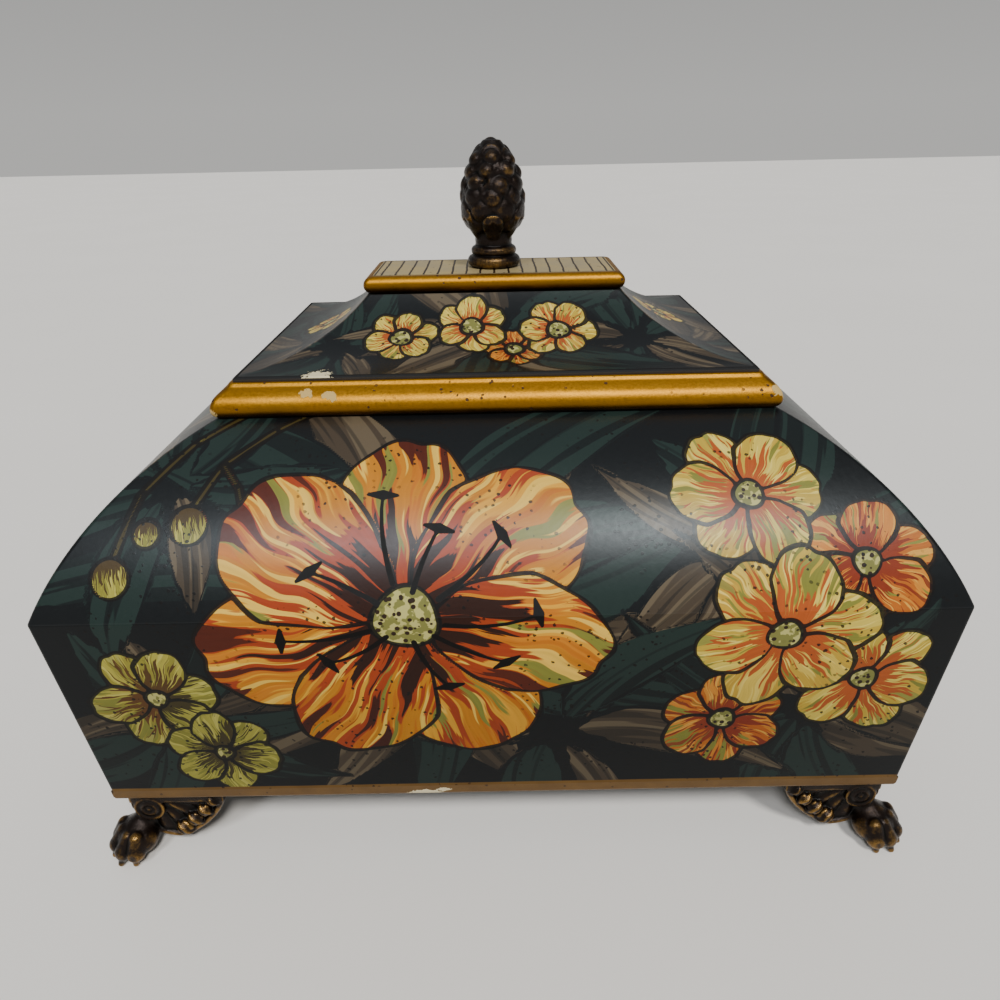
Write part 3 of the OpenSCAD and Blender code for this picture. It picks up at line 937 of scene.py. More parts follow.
def bronze_finish():
    recipe = Recipe("antique_bronze", IOR=1.5, Specular_IOR_Level=0.35)
    spot = recipe.place()
    relief = recipe.field("relief", 2)
    cloud = recipe.noise(spot, 0.12, 3.0, 0.6)
    grain = recipe.noise(spot, 1.1, 4.0, 0.7)
    worn = (relief + (cloud - 0.5) * 0.9 + (grain - 0.5) * 0.5).above(0.87, 0.5)
    deep = (relief + (grain - 0.5) * 0.25).below(0.36, 0.35)
    base = recipe.mix(cloud, "#120d0b", "#261b15")
    colour = recipe.mix(worn, base, "#8a6a38")
    colour = recipe.mix(deep, colour, "#040302")
    bumps = recipe.bump(grain, 0.5, 0.0004)
    return recipe.finish(
        Base_Color=colour,
        Metallic=0.66 + 0.3 * worn,
        Roughness=0.31 - 0.06 * worn + 0.15 * (grain - 0.5),
        Normal=bumps,
    )


BRONZE = bronze_finish()


def steel_finish():
    recipe = Recipe("zinc_steel", IOR=1.5, Metallic=1.0)
    spangle = recipe.noise(recipe.place(), 0.6, 2.0)
    colour = recipe.mix(spangle, "#8b8a84", "#b5b4ae")
    return recipe.finish(Base_Color=colour, Roughness=0.3 + 0.2 * spangle)


STEEL = steel_finish()
print("materials ready:", len(bpy.data.materials))

# %% [markdown]
# The walls. A lower board is nearly upright and leans out to the belt; a shoulder panel is a
# board bent to a 110 mm arc. Both are closed sections carried along their side and cut at
# 45 degrees, so four of them meet in a sharp, slightly rubbed corner.

# %% Wall sections
CREASE_R = 2.5
CREASE = SHOULDER_LEAN + math.atan(WALL_SLOPE)
SETBACK = CREASE_R * math.tan(CREASE / 2)
WALL_LENGTH = math.hypot(WALL_SLOPE, 1) * (BELT_Z - BASE_TOP)


def wall_p(z):
    """A lower board's outer face at a height, from the belt plane; below the belt it is negative."""
    return (z - BELT_Z) * WALL_SLOPE


def crease_points():
    """The rounded belt: an arc that touches both boards, split in its middle."""
    lean = math.atan(WALL_SLOPE)
    foot = np.array([-SETBACK * math.sin(lean), BELT_Z - SETBACK * math.cos(lean)])
    centre = foot + CREASE_R * np.array([-math.cos(lean), math.sin(lean)])
    return arc(centre, CREASE_R, -math.degrees(lean), math.degrees(SHOULDER_LEAN), 9)


def run_length(points):
    """Distance walked along a section, from its first point."""
    steps = np.hypot(*np.diff(points, axis=0).T)
    return np.concatenate([[0], np.cumsum(steps)])


def lower_section():
    """Outer face upward, then the inner face downward; returns the section and its outer count."""
    bend = crease_points()
    rows = round(WALL_LENGTH / GRID)
    face = line((wall_p(BASE_TOP), BASE_TOP), bend[0], rows)
    outer = np.concatenate([face, bend[:5]])
    top = bend[4]
    inner = np.array([[top[0] - WALL_T, top[1]], [wall_p(BASE_TOP) - WALL_T, BASE_TOP]])
    inner = np.concatenate([line(inner[0], inner[1], 6), inner[1:]])
    return np.concatenate([outer, inner]), len(outer)


def shoulder_section():
    """From the belt up the bent face to the rim, and back down the inner face."""
    bend = crease_points()
    start = math.degrees(SHOULDER_LEAN) + math.degrees(SETBACK / SHOULDER_R)
    rim = math.degrees(math.asin((RIM_Z - SHOULDER_C[1]) / SHOULDER_R))
    rows = round(math.radians(rim - start) * SHOULDER_R / GRID)
    outer = np.concatenate([bend[4:-1], arc(SHOULDER_C, SHOULDER_R, start, rim, rows)])
    inner_r = SHOULDER_R - WALL_T
    open_p = -box_mm("rim_strip_front")[1][1] - HALF_D
    inner_rim = math.degrees(math.acos((open_p - SHOULDER_C[0]) / inner_r))
    inner_low = math.degrees(math.asin((bend[4][1] - SHOULDER_C[1]) / inner_r))
    inner = arc(SHOULDER_C, inner_r, inner_rim, inner_low, 24)
    return np.concatenate([outer, [[open_p, RIM_Z]], inner]), len(outer)


def painted_fields(section, outer, along, start, plan, seed):
    """The canvas over the outer rows of a section, as flat fields over all its points."""
    rows, columns = along.shape
    t = start + run_length(section[:outer])[:, None] + np.zeros((1, columns))
    canvas = Canvas(along[:outer], t, seed)
    paint(canvas, plan)
    edge = canvas.edge
    fields = {
        "leaves": np.stack([edge["teal"], edge["taupe"], edge["dash_and_shade"]], -1),
        "marks": np.stack([edge["ink"], edge["bloom"], edge["heart"]], -1),
        "leaf": canvas.leaf,
        "petal": canvas.petal,
        "tint": canvas.tint,
    }
    for name, values in fields.items():
        wide = np.zeros((rows, columns) + values.shape[2:])
        wide[:outer] = values
        fields[name] = wide.reshape((rows * columns,) + values.shape[2:])
    return fields


def painted_board(name, node, side, section, outer, start, plan, seed, body, skin):
    """One painted board; its caps, back and joints are plain dark wood."""
    points, along = mitred_surface(side, section, GRID, CORNER_R)
    rows, columns = along.shape
    row = np.arange(rows)
    hidden = np.repeat((row >= outer - 1) & (row < rows - 1), columns - 1)
    hidden = np.concatenate([hidden, [True, True]])
    fields = painted_fields(section, outer, along, start, plan, seed)
    board = put_bar(name, points, [skin, DARK], hidden, fields)
    dress(board, body, node)
    print(f"{name}: {rows} x {columns} points")


def painted_round(part, node, shape, start, plans, seed, body, skin):
    """The four boards of one section; {} in the node's name stands for the side."""
    for side, word in enumerate(SIDES):
        painted_board(f"painted_{part}_{word}", node.format(word), side, *shape, start, plans[side],
                      seed + side, body, skin)


# %% Lower boards and shoulders
WALL_SEED = 40
LID_SEED = 60
lower = lower_section()
belt_run = run_length(lower[0][: lower[1]])[-1]
painted_round("lower", "lower_{}_board", lower, 0.0, WALL_PLANS, WALL_SEED, "casket", DULLER)
painted_round("shoulder", "shoulder_{}_panel", shoulder_section(), belt_run, WALL_PLANS, WALL_SEED,
              "casket", PAINTED)

# %% [markdown]
# The lid's panels are hollow sweeps: thin boards bent the other way, with a worn lip at the
# foot where they stand on the moulding. They are painted like the walls.

# %% Lid panels


def cove_angle(radius, p=None, z=None):
    """Angle on the cove's circle, in degrees, at a given p or a given height."""
    if p is not None:
        return -math.degrees(math.acos((p - COVE_C[0]) / radius))
    return -180 - math.degrees(math.asin((z - COVE_C[1]) / radius))


def lid_section():
    """Up the hollow face, in over the top, down the back and round the rubbed foot."""
    start = cove_angle(COVE_R, p=PANEL_FOOT)
    end = cove_angle(COVE_R, z=PANEL_TOP)
    rows = round(math.radians(start - end) * COVE_R / GRID)
    face = arc(COVE_C, COVE_R, start - 0.5, end, rows)
    back_r = COVE_R + COVE_T
    back = arc(COVE_C, back_r, cove_angle(back_r, z=PANEL_TOP), cove_angle(back_r, p=PANEL_FOOT), 16)
    lip = face[0] + np.array([0.55, -0.55])
    lip[0] = PANEL_FOOT
    return np.concatenate([face, back, [lip]]), len(face)


painted_round("lid", "lid_panel_{}", lid_section(), 0.0, LID_PLANS, LID_SEED, "lid", PAINTED)

# %% [markdown]
# Mouldings. The lid's frame has a flat fillet under the panel, a sloping shoulder and a
# round nose; the plate's edge is a half-round bead. Hand-gessoed wood is never quite
# straight, so the sections swell and sink by a fraction of a millimetre along their length.

# %% Mouldings
MOULDING_CORNER_R = 2.2
MOULDING_STEP = 1.6
SWELL = 0.12
WAVES = (170.0, 61.0, 23.0)


def nose_section():
    """The moulding's section: nose, shoulder, fillet and seat, then the flat underside."""
    centre = (NOSE_OUT - NOSE_R, NOSE_Z)
    under_r = NOSE_Z - RIM_Z
    under = arc((NOSE_OUT - under_r, NOSE_Z), under_r, -90, 0, 12)
    nose = arc(centre, NOSE_R, 0, 53, 18)[1:]
    fillet_foot = np.array([PANEL_FOOT + 1.9, FILLET_Z - 1.35])
    slope = line(nose[-1], fillet_foot, 5)[1:]
    steps = np.array([[1.5, -0.5], [1.0, -0.2], [0.2, -0.1]])
    fillet = np.concatenate([[fillet_foot], steps + [PANEL_FOOT, FILLET_Z]])
    back_r = COVE_R + COVE_T
    seat = arc(COVE_C, back_r, cove_angle(back_r, p=PANEL_FOOT), cove_angle(back_r, p=LIP_IN), 10)
    return np.concatenate([under, nose, slope, fillet, seat, [[LIP_IN, RIM_Z]]])


def bead_section():
    """A half circle against the plate's edge."""
    r = (bead_high[2] - bead_low[2]) / 2
    p = -(HALF_D + plate_low[1])
    centre = (p, bead_low[2] + r)
    flat = line((p, centre[1] + r), (p, centre[1] - r), 4)[1:]
    return np.concatenate([arc(centre, r, -90, 90, 33), flat])


def uneven(points, seed, size):
    """A sum of slow sine waves along a moulding, never more than size: sin(2 pi x / length)."""
    rng = np.random.default_rng(seed)
    wave = np.zeros(points.shape[:2])
    run = points[..., 0] + points[..., 1]
    for length in WAVES:
        phase = rng.uniform(0, 2 * np.pi)
        wave += np.sin(2 * np.pi * run / length + phase) * size * length / sum(WAVES)
    return wave


def glaze_field(section, columns, low, high):
    """Painted shade and glaze: 1 on the underside of the section, 0 at a height, a little above that."""
    share = np.clip((section[:, 1] - low) / (high - low), 0, 1)
    above = np.clip((section[:, 1] - high - 0.6) / 1.2, 0, 1)
    slope = above * (section[:, 1] < FILLET_Z - 1.4)
    return np.repeat((1 - share) ** 1.4 + 0.32 * slope, columns)


def gilded_moulding(name, node, side, section, skin, low, high):
    """One moulding, sunk a little by its waves where it faces out."""
    points, along = mitred_surface(side, section, MOULDING_STEP, MOULDING_CORNER_R)
    rows, columns = along.shape
    inward = np.abs(uneven(points, side, SWELL))
    turn = side * math.pi / 2
    face = np.clip((section[:, :1] - (section[:, 0].max() - 6)) / 6, 0, 1) * inward
    points[..., 0] -= face * math.sin(turn)
    points[..., 1] += face * math.cos(turn)
    fields = {"glaze": glaze_field(section, columns, low, high)}
    bar = put_bar(name, points, [skin], None, fields)
    dress(bar, "lid", node)
    print(f"{name}: {rows} x {columns} points")


BARS = [("gilded_moulding", "lid_moulding", nose_section(), MOULDING_GOLD, RIM_Z, NOSE_Z + 5),
        ("gilded_bead", "plate_bead", bead_section(), BEAD_GOLD, bead_low[2], bead_high[2] + 1.5)]
for side, word in enumerate(SIDES):
    for name, node, *rest in BARS:
        gilded_moulding(f"{name}_{word}", f"{node}_{word}", side, *rest)

# %% [markdown]
# The striped plate is a flat slab with eased edges: rings of the same rectangle, drawn in
# over the top and the bottom, with one flat face to close each.

# %% Plate
PLATE_CORNER = 0.8
PLATE_EASE = 0.4


def slab(name, half, low, high, skin):
    """A rectangle with rounded corners, eased at top and bottom by a quarter circle."""
    turn = np.radians(np.linspace(-90, 90, 13))
    inset = PLATE_EASE * (1 - np.cos(turn))
    rise = np.sin(turn)
    z = np.where(turn < 0, low + PLATE_EASE * (1 + rise), high - PLATE_EASE * (1 - rise))
    lap = []
    for quarter in range(4):
        angle = np.radians(np.linspace(0, 90, 6) + 90 * quarter)
        signs = np.array([[1, 1], [-1, 1], [-1, -1], [1, -1]][quarter])
        bend = np.stack([np.cos(angle), np.sin(angle)], -1)
        lap.append(signs * (half - PLATE_CORNER) + PLATE_CORNER * bend)
    laps = np.concatenate(lap)[None] * (1 - inset[:, None, None] / half)
    points = np.concatenate([laps, np.broadcast_to(z[:, None, None], laps.shape[:2] + (1,))], -1)
    rows, columns = points.shape[:2]
    here = np.arange(columns)
    after = (here + 1) % columns
    low = np.arange(rows - 1)[:, None] * columns
    high = low + columns
    quads = np.stack([low + here, low + after, high + after, high + here], -1)
    caps = [here[::-1], (rows - 1) * columns + here]
    return put_mesh(name, points.reshape(-1, 3), quads.reshape(-1, 4), caps, [skin])


plate = slab("striped_plate", plate_high[:2], plate_low[2], plate_high[2], STRIPED)
dress(plate, "lid", "top_plate")
print(f"plate {2 * plate_high[0]:.1f} x {2 * plate_high[1]:.1f} mm")

# %% [markdown]
# Castings. A pine cone or a claw foot is many rounded lumps that run into each other. Each
# lump is a signed distance (negative inside) over a block of points, the lumps are blended,
# and the surface is drawn where the blend is zero: every cell that the surface crosses gets
# one point, the mean of the crossings on its edges, and four neighbours share a face.

# %% Surface of a field
RELIEF_ROUNDS = 26
RELIEF_GAIN = 1.1
CAST_CREASE = 80.0
CUBE = np.array([(i, j, k) for i in (0, 1) for j in (0, 1) for k in (0, 1)])
PAIRS = [(a, b) for a in range(8) for b in range(a + 1, 8)]
CUBE_EDGES = [(a, b) for a, b in PAIRS if np.abs(CUBE[b] - CUBE[a]).sum() == 1]


def surface_points(field, low, step):
    """One point for each crossed cell, and each cell's number (-1 where nothing crosses).

    On an edge from value a to value b the surface crosses at the share a / (a - b).
    """
    solid = field < 0
    nx, ny, nz = (n - 1 for n in field.shape)
    count = sum(solid[i : i + nx, j : j + ny, k : k + nz].astype(np.int8) for i, j, k in CUBE)
    crossed = (count > 0) & (count < 8)
    number = np.full(crossed.shape, -1)
    number[crossed] = np.arange(crossed.sum())
    cell = np.argwhere(crossed)
    value = [field[tuple((cell + corner).T)] for corner in CUBE]
    total = np.zeros(cell.shape)
    hits = np.zeros(len(cell))
    for a, b in CUBE_EDGES:
        cut = (value[a] < 0) != (value[b] < 0)
        share = np.where(cut, value[a] / np.where(cut, value[a] - value[b], 1), 0)
        total += np.where(cut[:, None], CUBE[a] + share[:, None] * (CUBE[b] - CUBE[a]), 0)
        hits += cut
    return low + step * (cell + total / hits[:, None]), number


def surface_faces(field, number):
    """A face for each grid edge that changes sign, made of the four cells round that edge."""
    solid = field < 0
    faces = []
    for axis in range(3):
        one, two = (axis + 1) % 3, (axis + 2) % 3
        first = np.moveaxis(solid, (axis, one, two), (0, 1, 2))
        cells = np.moveaxis(number, (axis, one, two), (0, 1, 2))
        start, end = first[:-1, 1:-1, 1:-1], first[1:, 1:-1, 1:-1]
        ring = [cells[:, :-1, :-1], cells[:, 1:, :-1], cells[:, 1:, 1:], cells[:, :-1, 1:]]
        for leaving in (True, False):
            here = (start & ~end) if leaving else (~start & end)
            loop = np.stack([part[here] for part in ring], -1)
            faces.append(loop if leaving else loop[:, ::-1])
    return np.concatenate(faces)


def summed(where, values, count):
    """Adds each row of values to the point that it belongs to."""
    return np.stack([np.bincount(where, column, count) for column in values.T], -1)


def smooth_points(points, faces, rounds, share):
    """Moves each point towards the mean of its neighbours."""
    start = faces.ravel()
    end = np.roll(faces, -1, axis=1).ravel()
    size = len(points)
    count = np.bincount(start, minlength=size) + np.bincount(end, minlength=size)
    for _ in range(rounds):
        mean = summed(start, points[end], size) + summed(end, points[start], size)
        points = points + share * (mean / count[:, None] - points)
    return points


def relief_field(points, faces):
    """0.5 on flat stretches, more on bumps and less in hollows: how far a point stands
    out from its smoothed neighbourhood, along its normal."""
    normal = np.zeros_like(points)
    a, b, c, d = (points[faces[:, k]] for k in range(4))
    flat = np.cross(c - a, d - b)
    for k in range(4):
        normal += summed(faces[:, k], flat, len(points))
    normal /= np.maximum(np.linalg.norm(normal, axis=1, keepdims=True), 1e-9)
    smooth = smooth_points(points, faces, RELIEF_ROUNDS, 0.8)
    out = np.einsum("ij,ij->i", points - smooth, normal)
    return np.clip(0.5 + out * RELIEF_GAIN, 0, 1)


def blend(first, second, soft):
    """The union of two fields, rounded where they meet: min(a, b) - h^2 / (4 soft)."""
    h = np.maximum(soft - np.abs(first - second), 0)
    return np.minimum(first, second) - h * h / (4 * soft)


def meet(*fields):
    """What lies inside all of the fields: the greatest of their values."""
    result = fields[0]
    for field in fields[1:]:
        result = np.maximum(result, field)
    return result


def block(low, high, step):
    """The coordinates of a block of points."""
    axes = [np.arange(a, b + step, step) for a, b in zip(low, high)]
    return np.meshgrid(*axes, indexing="ij")


def lump(x, y, z, middle, size):
    """An ellipsoid: (|q / size| - 1) times its least half-axis."""
    reach = np.sqrt(sum(((q - m) / s) ** 2 for q, m, s in zip((x, y, z), middle, size)))
    return (reach - 1) * min(size)


def rod(x, y, z, start, end, r_start, r_end):
    """A round bar between two points, from one radius to another."""
    start, end = np.array(start, float), np.array(end, float)
    way = end - start
    axes = list(zip((x, y, z), start, way))
    share = np.clip(sum((q - a) * w for q, a, w in axes) / (way @ way), 0, 1)
    gap = np.sqrt(sum((q - a - share * w) ** 2 for q, a, w in axes))
    return gap - (r_start + share * (r_end - r_start))


def ring(x, y, z, height, big, small):
    """A torus round the Z axis: the distance to its circle, less its small radius."""
    return np.hypot(np.hypot(x, y) - big, z - height) - small


def cast(names, x, y, z, field, step, places, body, nodes):
    """Draws a field's surface once and sets a copy of it at each (angle, place)."""
    low = np.array([x.min(), y.min(), z.min()])
    points, number = surface_points(field, low, step)
    faces = surface_faces(field, number)
    points = smooth_points(points, faces, 2, 0.5)
    fields = {"relief": relief_field(points, faces)}
    for (turn, place), node, name in zip(places, nodes, names):
        c, s = math.cos(turn), math.sin(turn)
        spin = np.array([[c, s, 0], [-s, c, 0], [0, 0, 1]])
        turned = points @ spin + np.array(place)
        piece = put_mesh(name, turned, faces, [], [BRONZE], None, fields, CAST_CREASE)
        dress(piece, body, node)
    print(f"{names[0]}: {len(faces)} faces, {len(names)} of them")


# %% [markdown]
# The finial: two turned rings, a neck cupped by leaves, and a cone of hooded scales. A scale
# is a low lump under a raised arch, with a nut-like bump in its middle.

# %% Finial
FINIAL_STEP = 0.34
FINIAL_H = finial_high[2] - finial_low[2]
CONE_R = (finial_high[0] - finial_low[0]) / 2 - 2.4
SCALES_ROUND = [8, 8, 8, 7, 7, 6]
FIRST_ROW = 21.6
ROW_STEP = 4.8
NECK_Z = 12.0
NECK_R = 6.9
WIDEST = 0.36
SHAFT_R = 8.3
LOWER_RING = (2.7, 9.4, 2.65)
UPPER_RING = (7.2, 8.2, 2.1)


def cone_radius(z):
    """Radius of the cone's core: a sine up from the neck, then a power of a cosine."""
    share = np.clip((z - NECK_Z) / (FINIAL_H - NECK_Z), 0, 1)
    low = NECK_R + (CONE_R - NECK_R) * np.sin(np.pi / 2 * np.clip((share - 0.06) / 0.3, 0, 1))
    high = CONE_R * np.cos(np.pi / 2 * np.clip((share - WIDEST) / 0.66, 0, 1)) ** 0.66
    return np.where(share < WIDEST, low, high)


def around_cone(x, y, z, angle, height):
    """Coordinates of a spot on the cone: sideways, up and out from its core."""
    r = float(cone_radius(np.array(height)))
    narrower = float(cone_radius(np.array(height - 1.5)) - cone_radius(np.array(height + 1.5)))
    lean = math.atan2(narrower, 3.0)
    c, s = math.cos(angle), math.sin(angle)
    side = y * c - x * s
    flat = x * c + y * s - r
    up = (z - height) * math.cos(lean) - flat * math.sin(lean)
    out = flat * math.cos(lean) + (z - height) * math.sin(lean)
    return side, up, out


def cone_scale(x, y, z, angle, height, size, tilt):
    """A scale, tipped a little to one side: a hood with a sharp arched rim and a nut under it."""
    side, up, out = around_cone(x, y, z, angle, height)
    c, s = math.cos(tilt), math.sin(tilt)
    side, up = side * c + up * s, up * c - side * s
    body = lump(side, up, out, (0, -0.2 * size, -0.6), (1.02 * size, 1.06 * size, 3.1))
    away = np.hypot(side, up * 0.9)
    arch = np.hypot((away - 0.96 * size) * 0.8, out - 0.5 + 0.3 * np.abs(side) / size) - 0.7
    arch = np.maximum(arch, -up - 0.2 * size)
    nut = lump(side, up, out, (0, -0.34 * size, 1.5), (0.62 * size, 0.56 * size, 1.4))
    return blend(blend(body, arch, 0.9), nut, 1.0)


def cup_leaf(x, y, z, angle, height, size):
    """A leaf that hugs the bottom of the cone, narrows to its foot and curls out at its tip."""
    side, up, out = around_cone(x, y, z, angle, height)
    side = side * (1.25 - 0.35 * np.clip(up / size, -1, 1))
    curled = out - 0.034 * np.clip(up, 0, None) ** 2
    blade = lump(side, up, curled, (0, 0, 0.9), (0.56 * size, size, 1.9))
    rim = np.hypot((np.hypot(side / 0.56, up) - 0.93 * size) * 0.6, curled - 1.8) - 0.75
    rim = np.maximum(rim, -up)
    lobe = lump(np.abs(side), up, curled, (0.24 * size, 0.45 * size, 2.2), (0.22 * size, 0.4 * size, 1.1))
    return blend(blend(blade, rim, 0.9), lobe, 0.7)


def finial_field(x, y, z):
    """Foot and rings, shaft and core, then scales, cup leaves and a capped nib at the top."""
    r = np.hypot(x, y)
    foot = np.maximum(r - LOWER_RING[1], np.abs(z - LOWER_RING[0]) - LOWER_RING[0])
    field = blend(foot, ring(x, y, z, *LOWER_RING), 0.4)
    field = blend(field, ring(x, y, z, *UPPER_RING), 0.3)
    field = np.minimum(field, np.maximum(r - SHAFT_R, np.abs(z - 7) - 2.3))
    field = blend(field, np.maximum(r - SHAFT_R, np.abs(z - NECK_Z) - 4), 0.8)
    core = meet((r - cone_radius(z) - 0.9) * 0.75, 11.5 - z, z - FINIAL_H + 1.2)
    field = blend(field, core, 1.0)
    rng = np.random.default_rng(7)
    for row, count in enumerate(SCALES_ROUND):
        for k in range(count):
            angle = math.radians(360 / count * (k + 0.5 * (row % 2)) + rng.uniform(-4, 4))
            height = FIRST_ROW + row * ROW_STEP + rng.uniform(-0.9, 0.9)
            size = (5.5 - 0.33 * row) * rng.uniform(0.92, 1.08)
            scale = cone_scale(x, y, z, angle, height, size, rng.uniform(-0.3, 0.3))
            field = blend(field, scale, 0.25)
    for k in range(6):
        leaf = cup_leaf(x, y, z, math.radians(60 * k - 90), 17.5 + 2.6 * (k % 2), 8.4)
        field = blend(field, leaf, 0.3)
    cap = lump(x, y, z, (-0.4, 0, FINIAL_H - 3.3), (3.4, 3.4, 3.3))
    ledge = ring(x + 0.4, y, z - 0.12 * x, FINIAL_H - 6.4, 4.6, 1.6)
    field = blend(field, blend(cap, ledge, 0.4), 0.6)
    return meet(field, r - CONE_R - 2.7, -z, z - FINIAL_H)


edge = CONE_R + 3.4
x, y, z = block((-edge, -edge, -1.0), (edge, edge, FINIAL_H + 1.0), FINIAL_STEP)
cast(["pine_cone_finial"], x, y, z, finial_field(x, y, z), FINIAL_STEP,
     [(0.0, (0, 0, finial_low[2]))], "lid", ["finial"])

# %% [markdown]
# The feet. A foot reaches a leaf along each face of the casket, turns a scroll at the corner
# and stands on a paw that points outward. It is worked out once, from the casket's bottom
# corner, and turned to each of the four corners.

# %% Feet
FOOT_STEP = 0.4
FOOT_FACE = -3.0
FOOT_CORNERS = {"front_right": (1, -1), "back_right": (1, 1), "back_left": (-1, 1), "front_left": (-1, -1)}
LEAF_END = 5.4
FLUTES_AT = (-13.0, 29.0)
SCROLL_AT = (-11.2, 23.4)
SCROLL_R = 6.5
BEADS = [((-24.3, 11.4), 4.2), ((-29.6, 16.6), 3.8), ((-34.6, 21.6), 3.4), ((-39.0, 26.8), 3.0)]
foot_low, foot_high = box_mm("foot_front_right")
corner_x = HALF_W - WALL_SLOPE * (BELT_Z - BASE_Z)
corner_y = HALF_D - WALL_SLOPE * (BELT_Z - BASE_Z)
foot_out = foot_high[0] - corner_x
leaf_reach = corner_x - foot_low[0]


def disc(x, z, middle):
    """Distance from a place on the face."""
    return np.hypot(x - middle[0], z - middle[1])


def foot_leaf(x, y, z):
    """The leaf on one face: a plate with an arched lower edge, a rim, flutes and four beads.

    Its edge is a wide arc towards the middle of the casket, and a tight one that climbs back
    to the corner under the scroll.
    """
    edge = disc(x, z, (-8.1, 41.8)) - 38.8
    edge = np.where(x > -21.5, np.maximum(edge, disc(x, z, (-21.5, 21.5)) - 16.0), edge)
    away = disc(x, z, FLUTES_AT)
    turn = np.arctan2(z - FLUTES_AT[1], x - FLUTES_AT[0])
    flutes = 0.55 * np.cos(15 * turn) * np.clip((away - 6) / 4, 0, 1)
    face = FOOT_FACE - 1.5 + flutes * np.clip((22 - away) / 5, 0, 1)
    plate = meet(edge, y - face, -y - 9.5, -leaf_reach + 0.6 - x, x + LEAF_END)
    rim = np.hypot(edge + 1.1, y - FOOT_FACE + 1.3) - 1.2
    rim = meet(rim, -leaf_reach + 0.8 - x, x + LEAF_END)
    leaf = blend(plate, rim, 0.6)
    for (bx, bz), size in BEADS:
        along = (x - bx) * 0.72 - (z - bz) * 0.69
        across = (x - bx) * 0.69 + (z - bz) * 0.72
        wrinkle = 0.25 * np.sin(along * 2.6 + 0.8 * np.sin(across * 1.1 + bx))
        bead = lump(along, y, across, (0, FOOT_FACE - 1.0, 0), (0.78 * size, 0.85 * size, size))
        leaf = blend(leaf, bead + wrinkle, 0.5)
    return leaf


def foot_scroll(x, y, z):
    """A disc with rings that sink and rise as a cosine of the distance from its middle."""
    away = disc(x, z, SCROLL_AT)
    face = FOOT_FACE + 0.7 + 0.3 * np.cos(2 * np.pi * away / 2.9) - 0.06 * away
    drum = meet(away - SCROLL_R, y - face, -y - 10)
    cheek = meet(np.abs(x + 10.4) - 5.6, y - FOOT_FACE + 0.2, 22 - z, -y - 12)
    return blend(drum, cheek, 0.7)


def foot_paw(x, y, z):
    """A paw on the diagonal: a broad low egg with four round toes, and a short claw under each."""
    out = (x + y) / math.sqrt(2)
    side = (y - x) / math.sqrt(2)
    paw = lump(out, side, z, (-4.2, 0, 8.4), (8.6, 10.4, 7.6))
    ankle = rod(out, side, z, (-14, 0, 18), (-6.5, 0, 12), 4.8, 5.6)
    paw = blend(paw, ankle, 1.8)
    for k in range(4):
        fan = math.radians((k - 1.5) * 44)
        c, s = math.cos(fan), math.sin(fan)
        top = (3.0 * c - 3.0, 6.6 * s, 12.0)
        knuckle = (6.0 * c - 2.2, 8.0 * s, 6.4)
        tip = (8.6 * c - 1.9, 8.8 * s, 1.4)
        toe = rod(out, side, z, top, knuckle, 3.2, 4.0)
        claw = rod(out, side, z, knuckle, tip, 2.4, 1.3)
        paw = blend(paw, blend(toe, claw, 0.8), 0.3)
    return paw


def foot_field(x, y, z):
    """Leaf and scroll on both faces, a pad under the corner board, and the paw."""
    half, mirror = (blend(foot_leaf(a, b, z), foot_scroll(a, b, z), 0.8) for a, b in ((x, y), (y, x)))
    corner = np.maximum(x, y)
    pad = meet(26.5 - z, corner - FOOT_FACE, -(x + y) - leaf_reach + FOOT_FACE)
    field = blend(blend(half, mirror, 0.8), pad, 0.5)
    field = blend(field, foot_paw(x, y, z), 1.2)
    return meet(field, corner - foot_out + 0.1, -np.minimum(x, y) - leaf_reach + 0.1, -z, z - BASE_Z)


reach = leaf_reach + 1.0
x, y, z = block((-reach, -reach, -1.0), (foot_out + 1.0, foot_out + 1.0, BASE_Z + 1.0), FOOT_STEP)
foot_places = [
    (math.radians(90 * k - 90), (across * corner_x, deep * corner_y, 0))
    for k, (across, deep) in enumerate(FOOT_CORNERS.values())
]
cast([f"cast_foot_{word}" for word in FOOT_CORNERS], x, y, z, foot_field(x, y, z), FOOT_STEP, foot_places,
     "casket", [f"foot_{word}" for word in FOOT_CORNERS])

# %% [markdown]
# What stays as the frame made it: the bottom board, the strips and battens inside, and the
# fixings. They only need their finish.

# %% Finishes on the frame's own nodes
CAD_FINISHES = {"bottom_board": EDGE_BAND, "rim_strip": DARK, "lid_lip": DARK, "foot_screws": STEEL,
                "finial_stud": STEEL, "finial_washer": STEEL, "finial_nut": STEEL}
for node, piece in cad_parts.items():
    for start, skin in CAD_FINISHES.items():
        if node.startswith(start):
            piece.data.materials.clear()
            piece.data.materials.append(skin)

# %% [markdown]
# The stage: a plain pale floor, three very soft lamps, and a sky that is pale at the
# horizon and darker overhead, so that the varnish shows one soft band of light.

# %% Stage and light


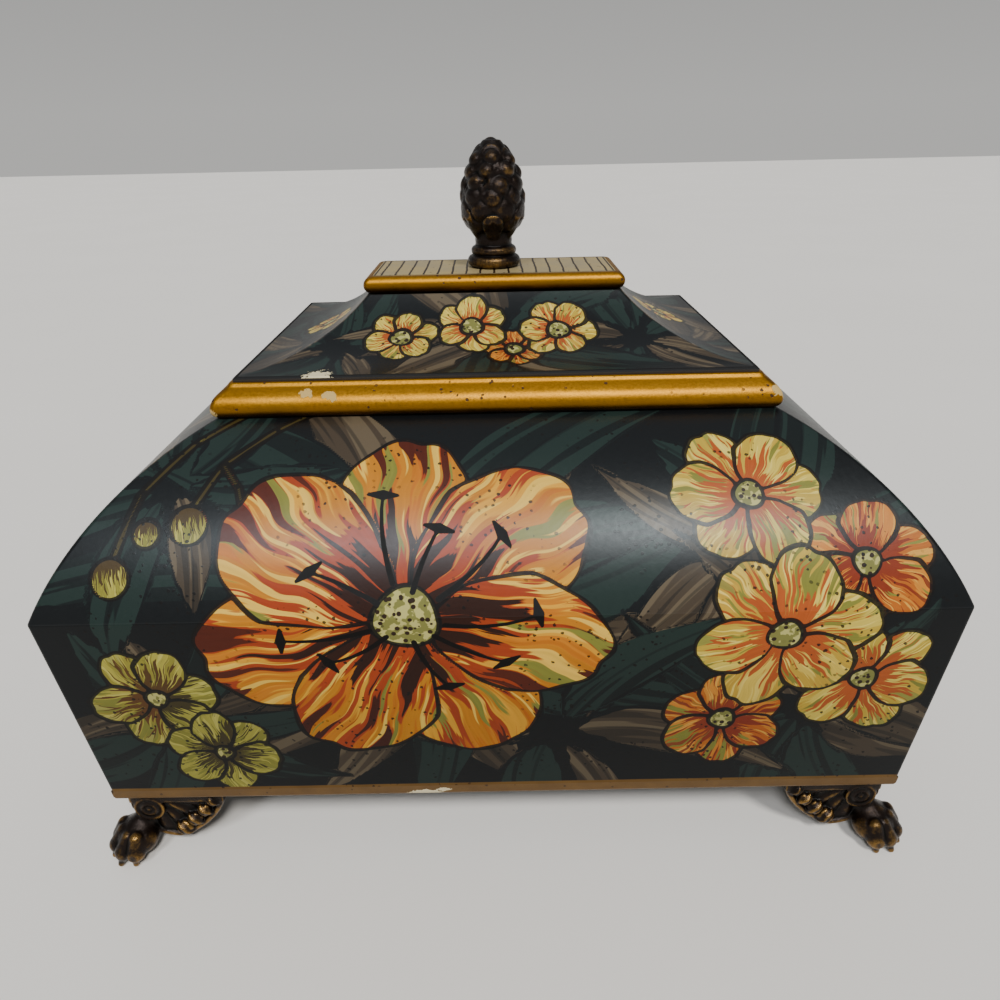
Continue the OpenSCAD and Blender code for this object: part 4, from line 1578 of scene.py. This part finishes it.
def floor_finish():
    recipe = Recipe("floor", Roughness=0.85)
    soft = recipe.noise(recipe.place(), 0.004, 2.0)
    return recipe.finish(Base_Color=recipe.mix(soft, "#e9e6e0", "#efece7"))


def floor_points(size, count):
    side = np.linspace(-size, size, count)
    x, y = np.meshgrid(side, side)
    return np.stack([x, y, np.zeros_like(x)], -1).reshape(-1, 3)


FLOOR_HALF = 6000.0
FLOOR_COUNT = 9
floor_quads = grid_quads(FLOOR_COUNT, FLOOR_COUNT, False)
floor = put_mesh("floor", floor_points(FLOOR_HALF, FLOOR_COUNT), floor_quads, [], [floor_finish()])


def sun(name, elevation, azimuth, softness, strength, colour):
    """A lamp too far away to fade; its softness is its width in degrees.

    Azimuth 0 is in front of the casket, and positive is to its right.
    """
    data = bpy.data.lights.new(name, "SUN")
    data.energy = strength
    data.angle = math.radians(softness)
    data.color = colour
    lamp = bpy.data.objects.new(name, data)
    bpy.context.scene.collection.objects.link(lamp)
    lamp.rotation_euler = (math.radians(90 - elevation), 0, math.radians(azimuth))


def studio_sky():
    """A pale ring of light round the horizon that fades to a darker ceiling."""
    sky = bpy.data.worlds.new("sky")
    sky.use_nodes = True
    nodes, links = sky.node_tree.nodes, sky.node_tree.links
    way = nodes.new("ShaderNodeTexCoord")
    height = nodes.new("ShaderNodeSeparateXYZ")
    ramp = nodes.new("ShaderNodeValToRGB")
    ramp.color_ramp.elements[0].position = 0.02
    ramp.color_ramp.elements[0].color = (0.5, 0.495, 0.48, 1.0)
    ramp.color_ramp.elements[1].position = 0.62
    ramp.color_ramp.elements[1].color = (0.11, 0.115, 0.12, 1.0)
    links.new(way.outputs["Generated"], height.inputs[0])
    links.new(height.outputs[2], ramp.inputs[0])
    links.new(ramp.outputs[0], nodes["Background"].inputs["Color"])
    return sky


sun("key", 52.0, 20.0, 11.0, 2.25, (1.0, 0.98, 0.95))
sun("second", 49.0, -19.0, 14.0, 1.35, (0.97, 0.98, 1.0))
sun("fill", 70.0, -150.0, 80.0, 0.45, (0.95, 0.97, 1.0))
bpy.context.scene.world = studio_sky()
print("stage and lights ready")
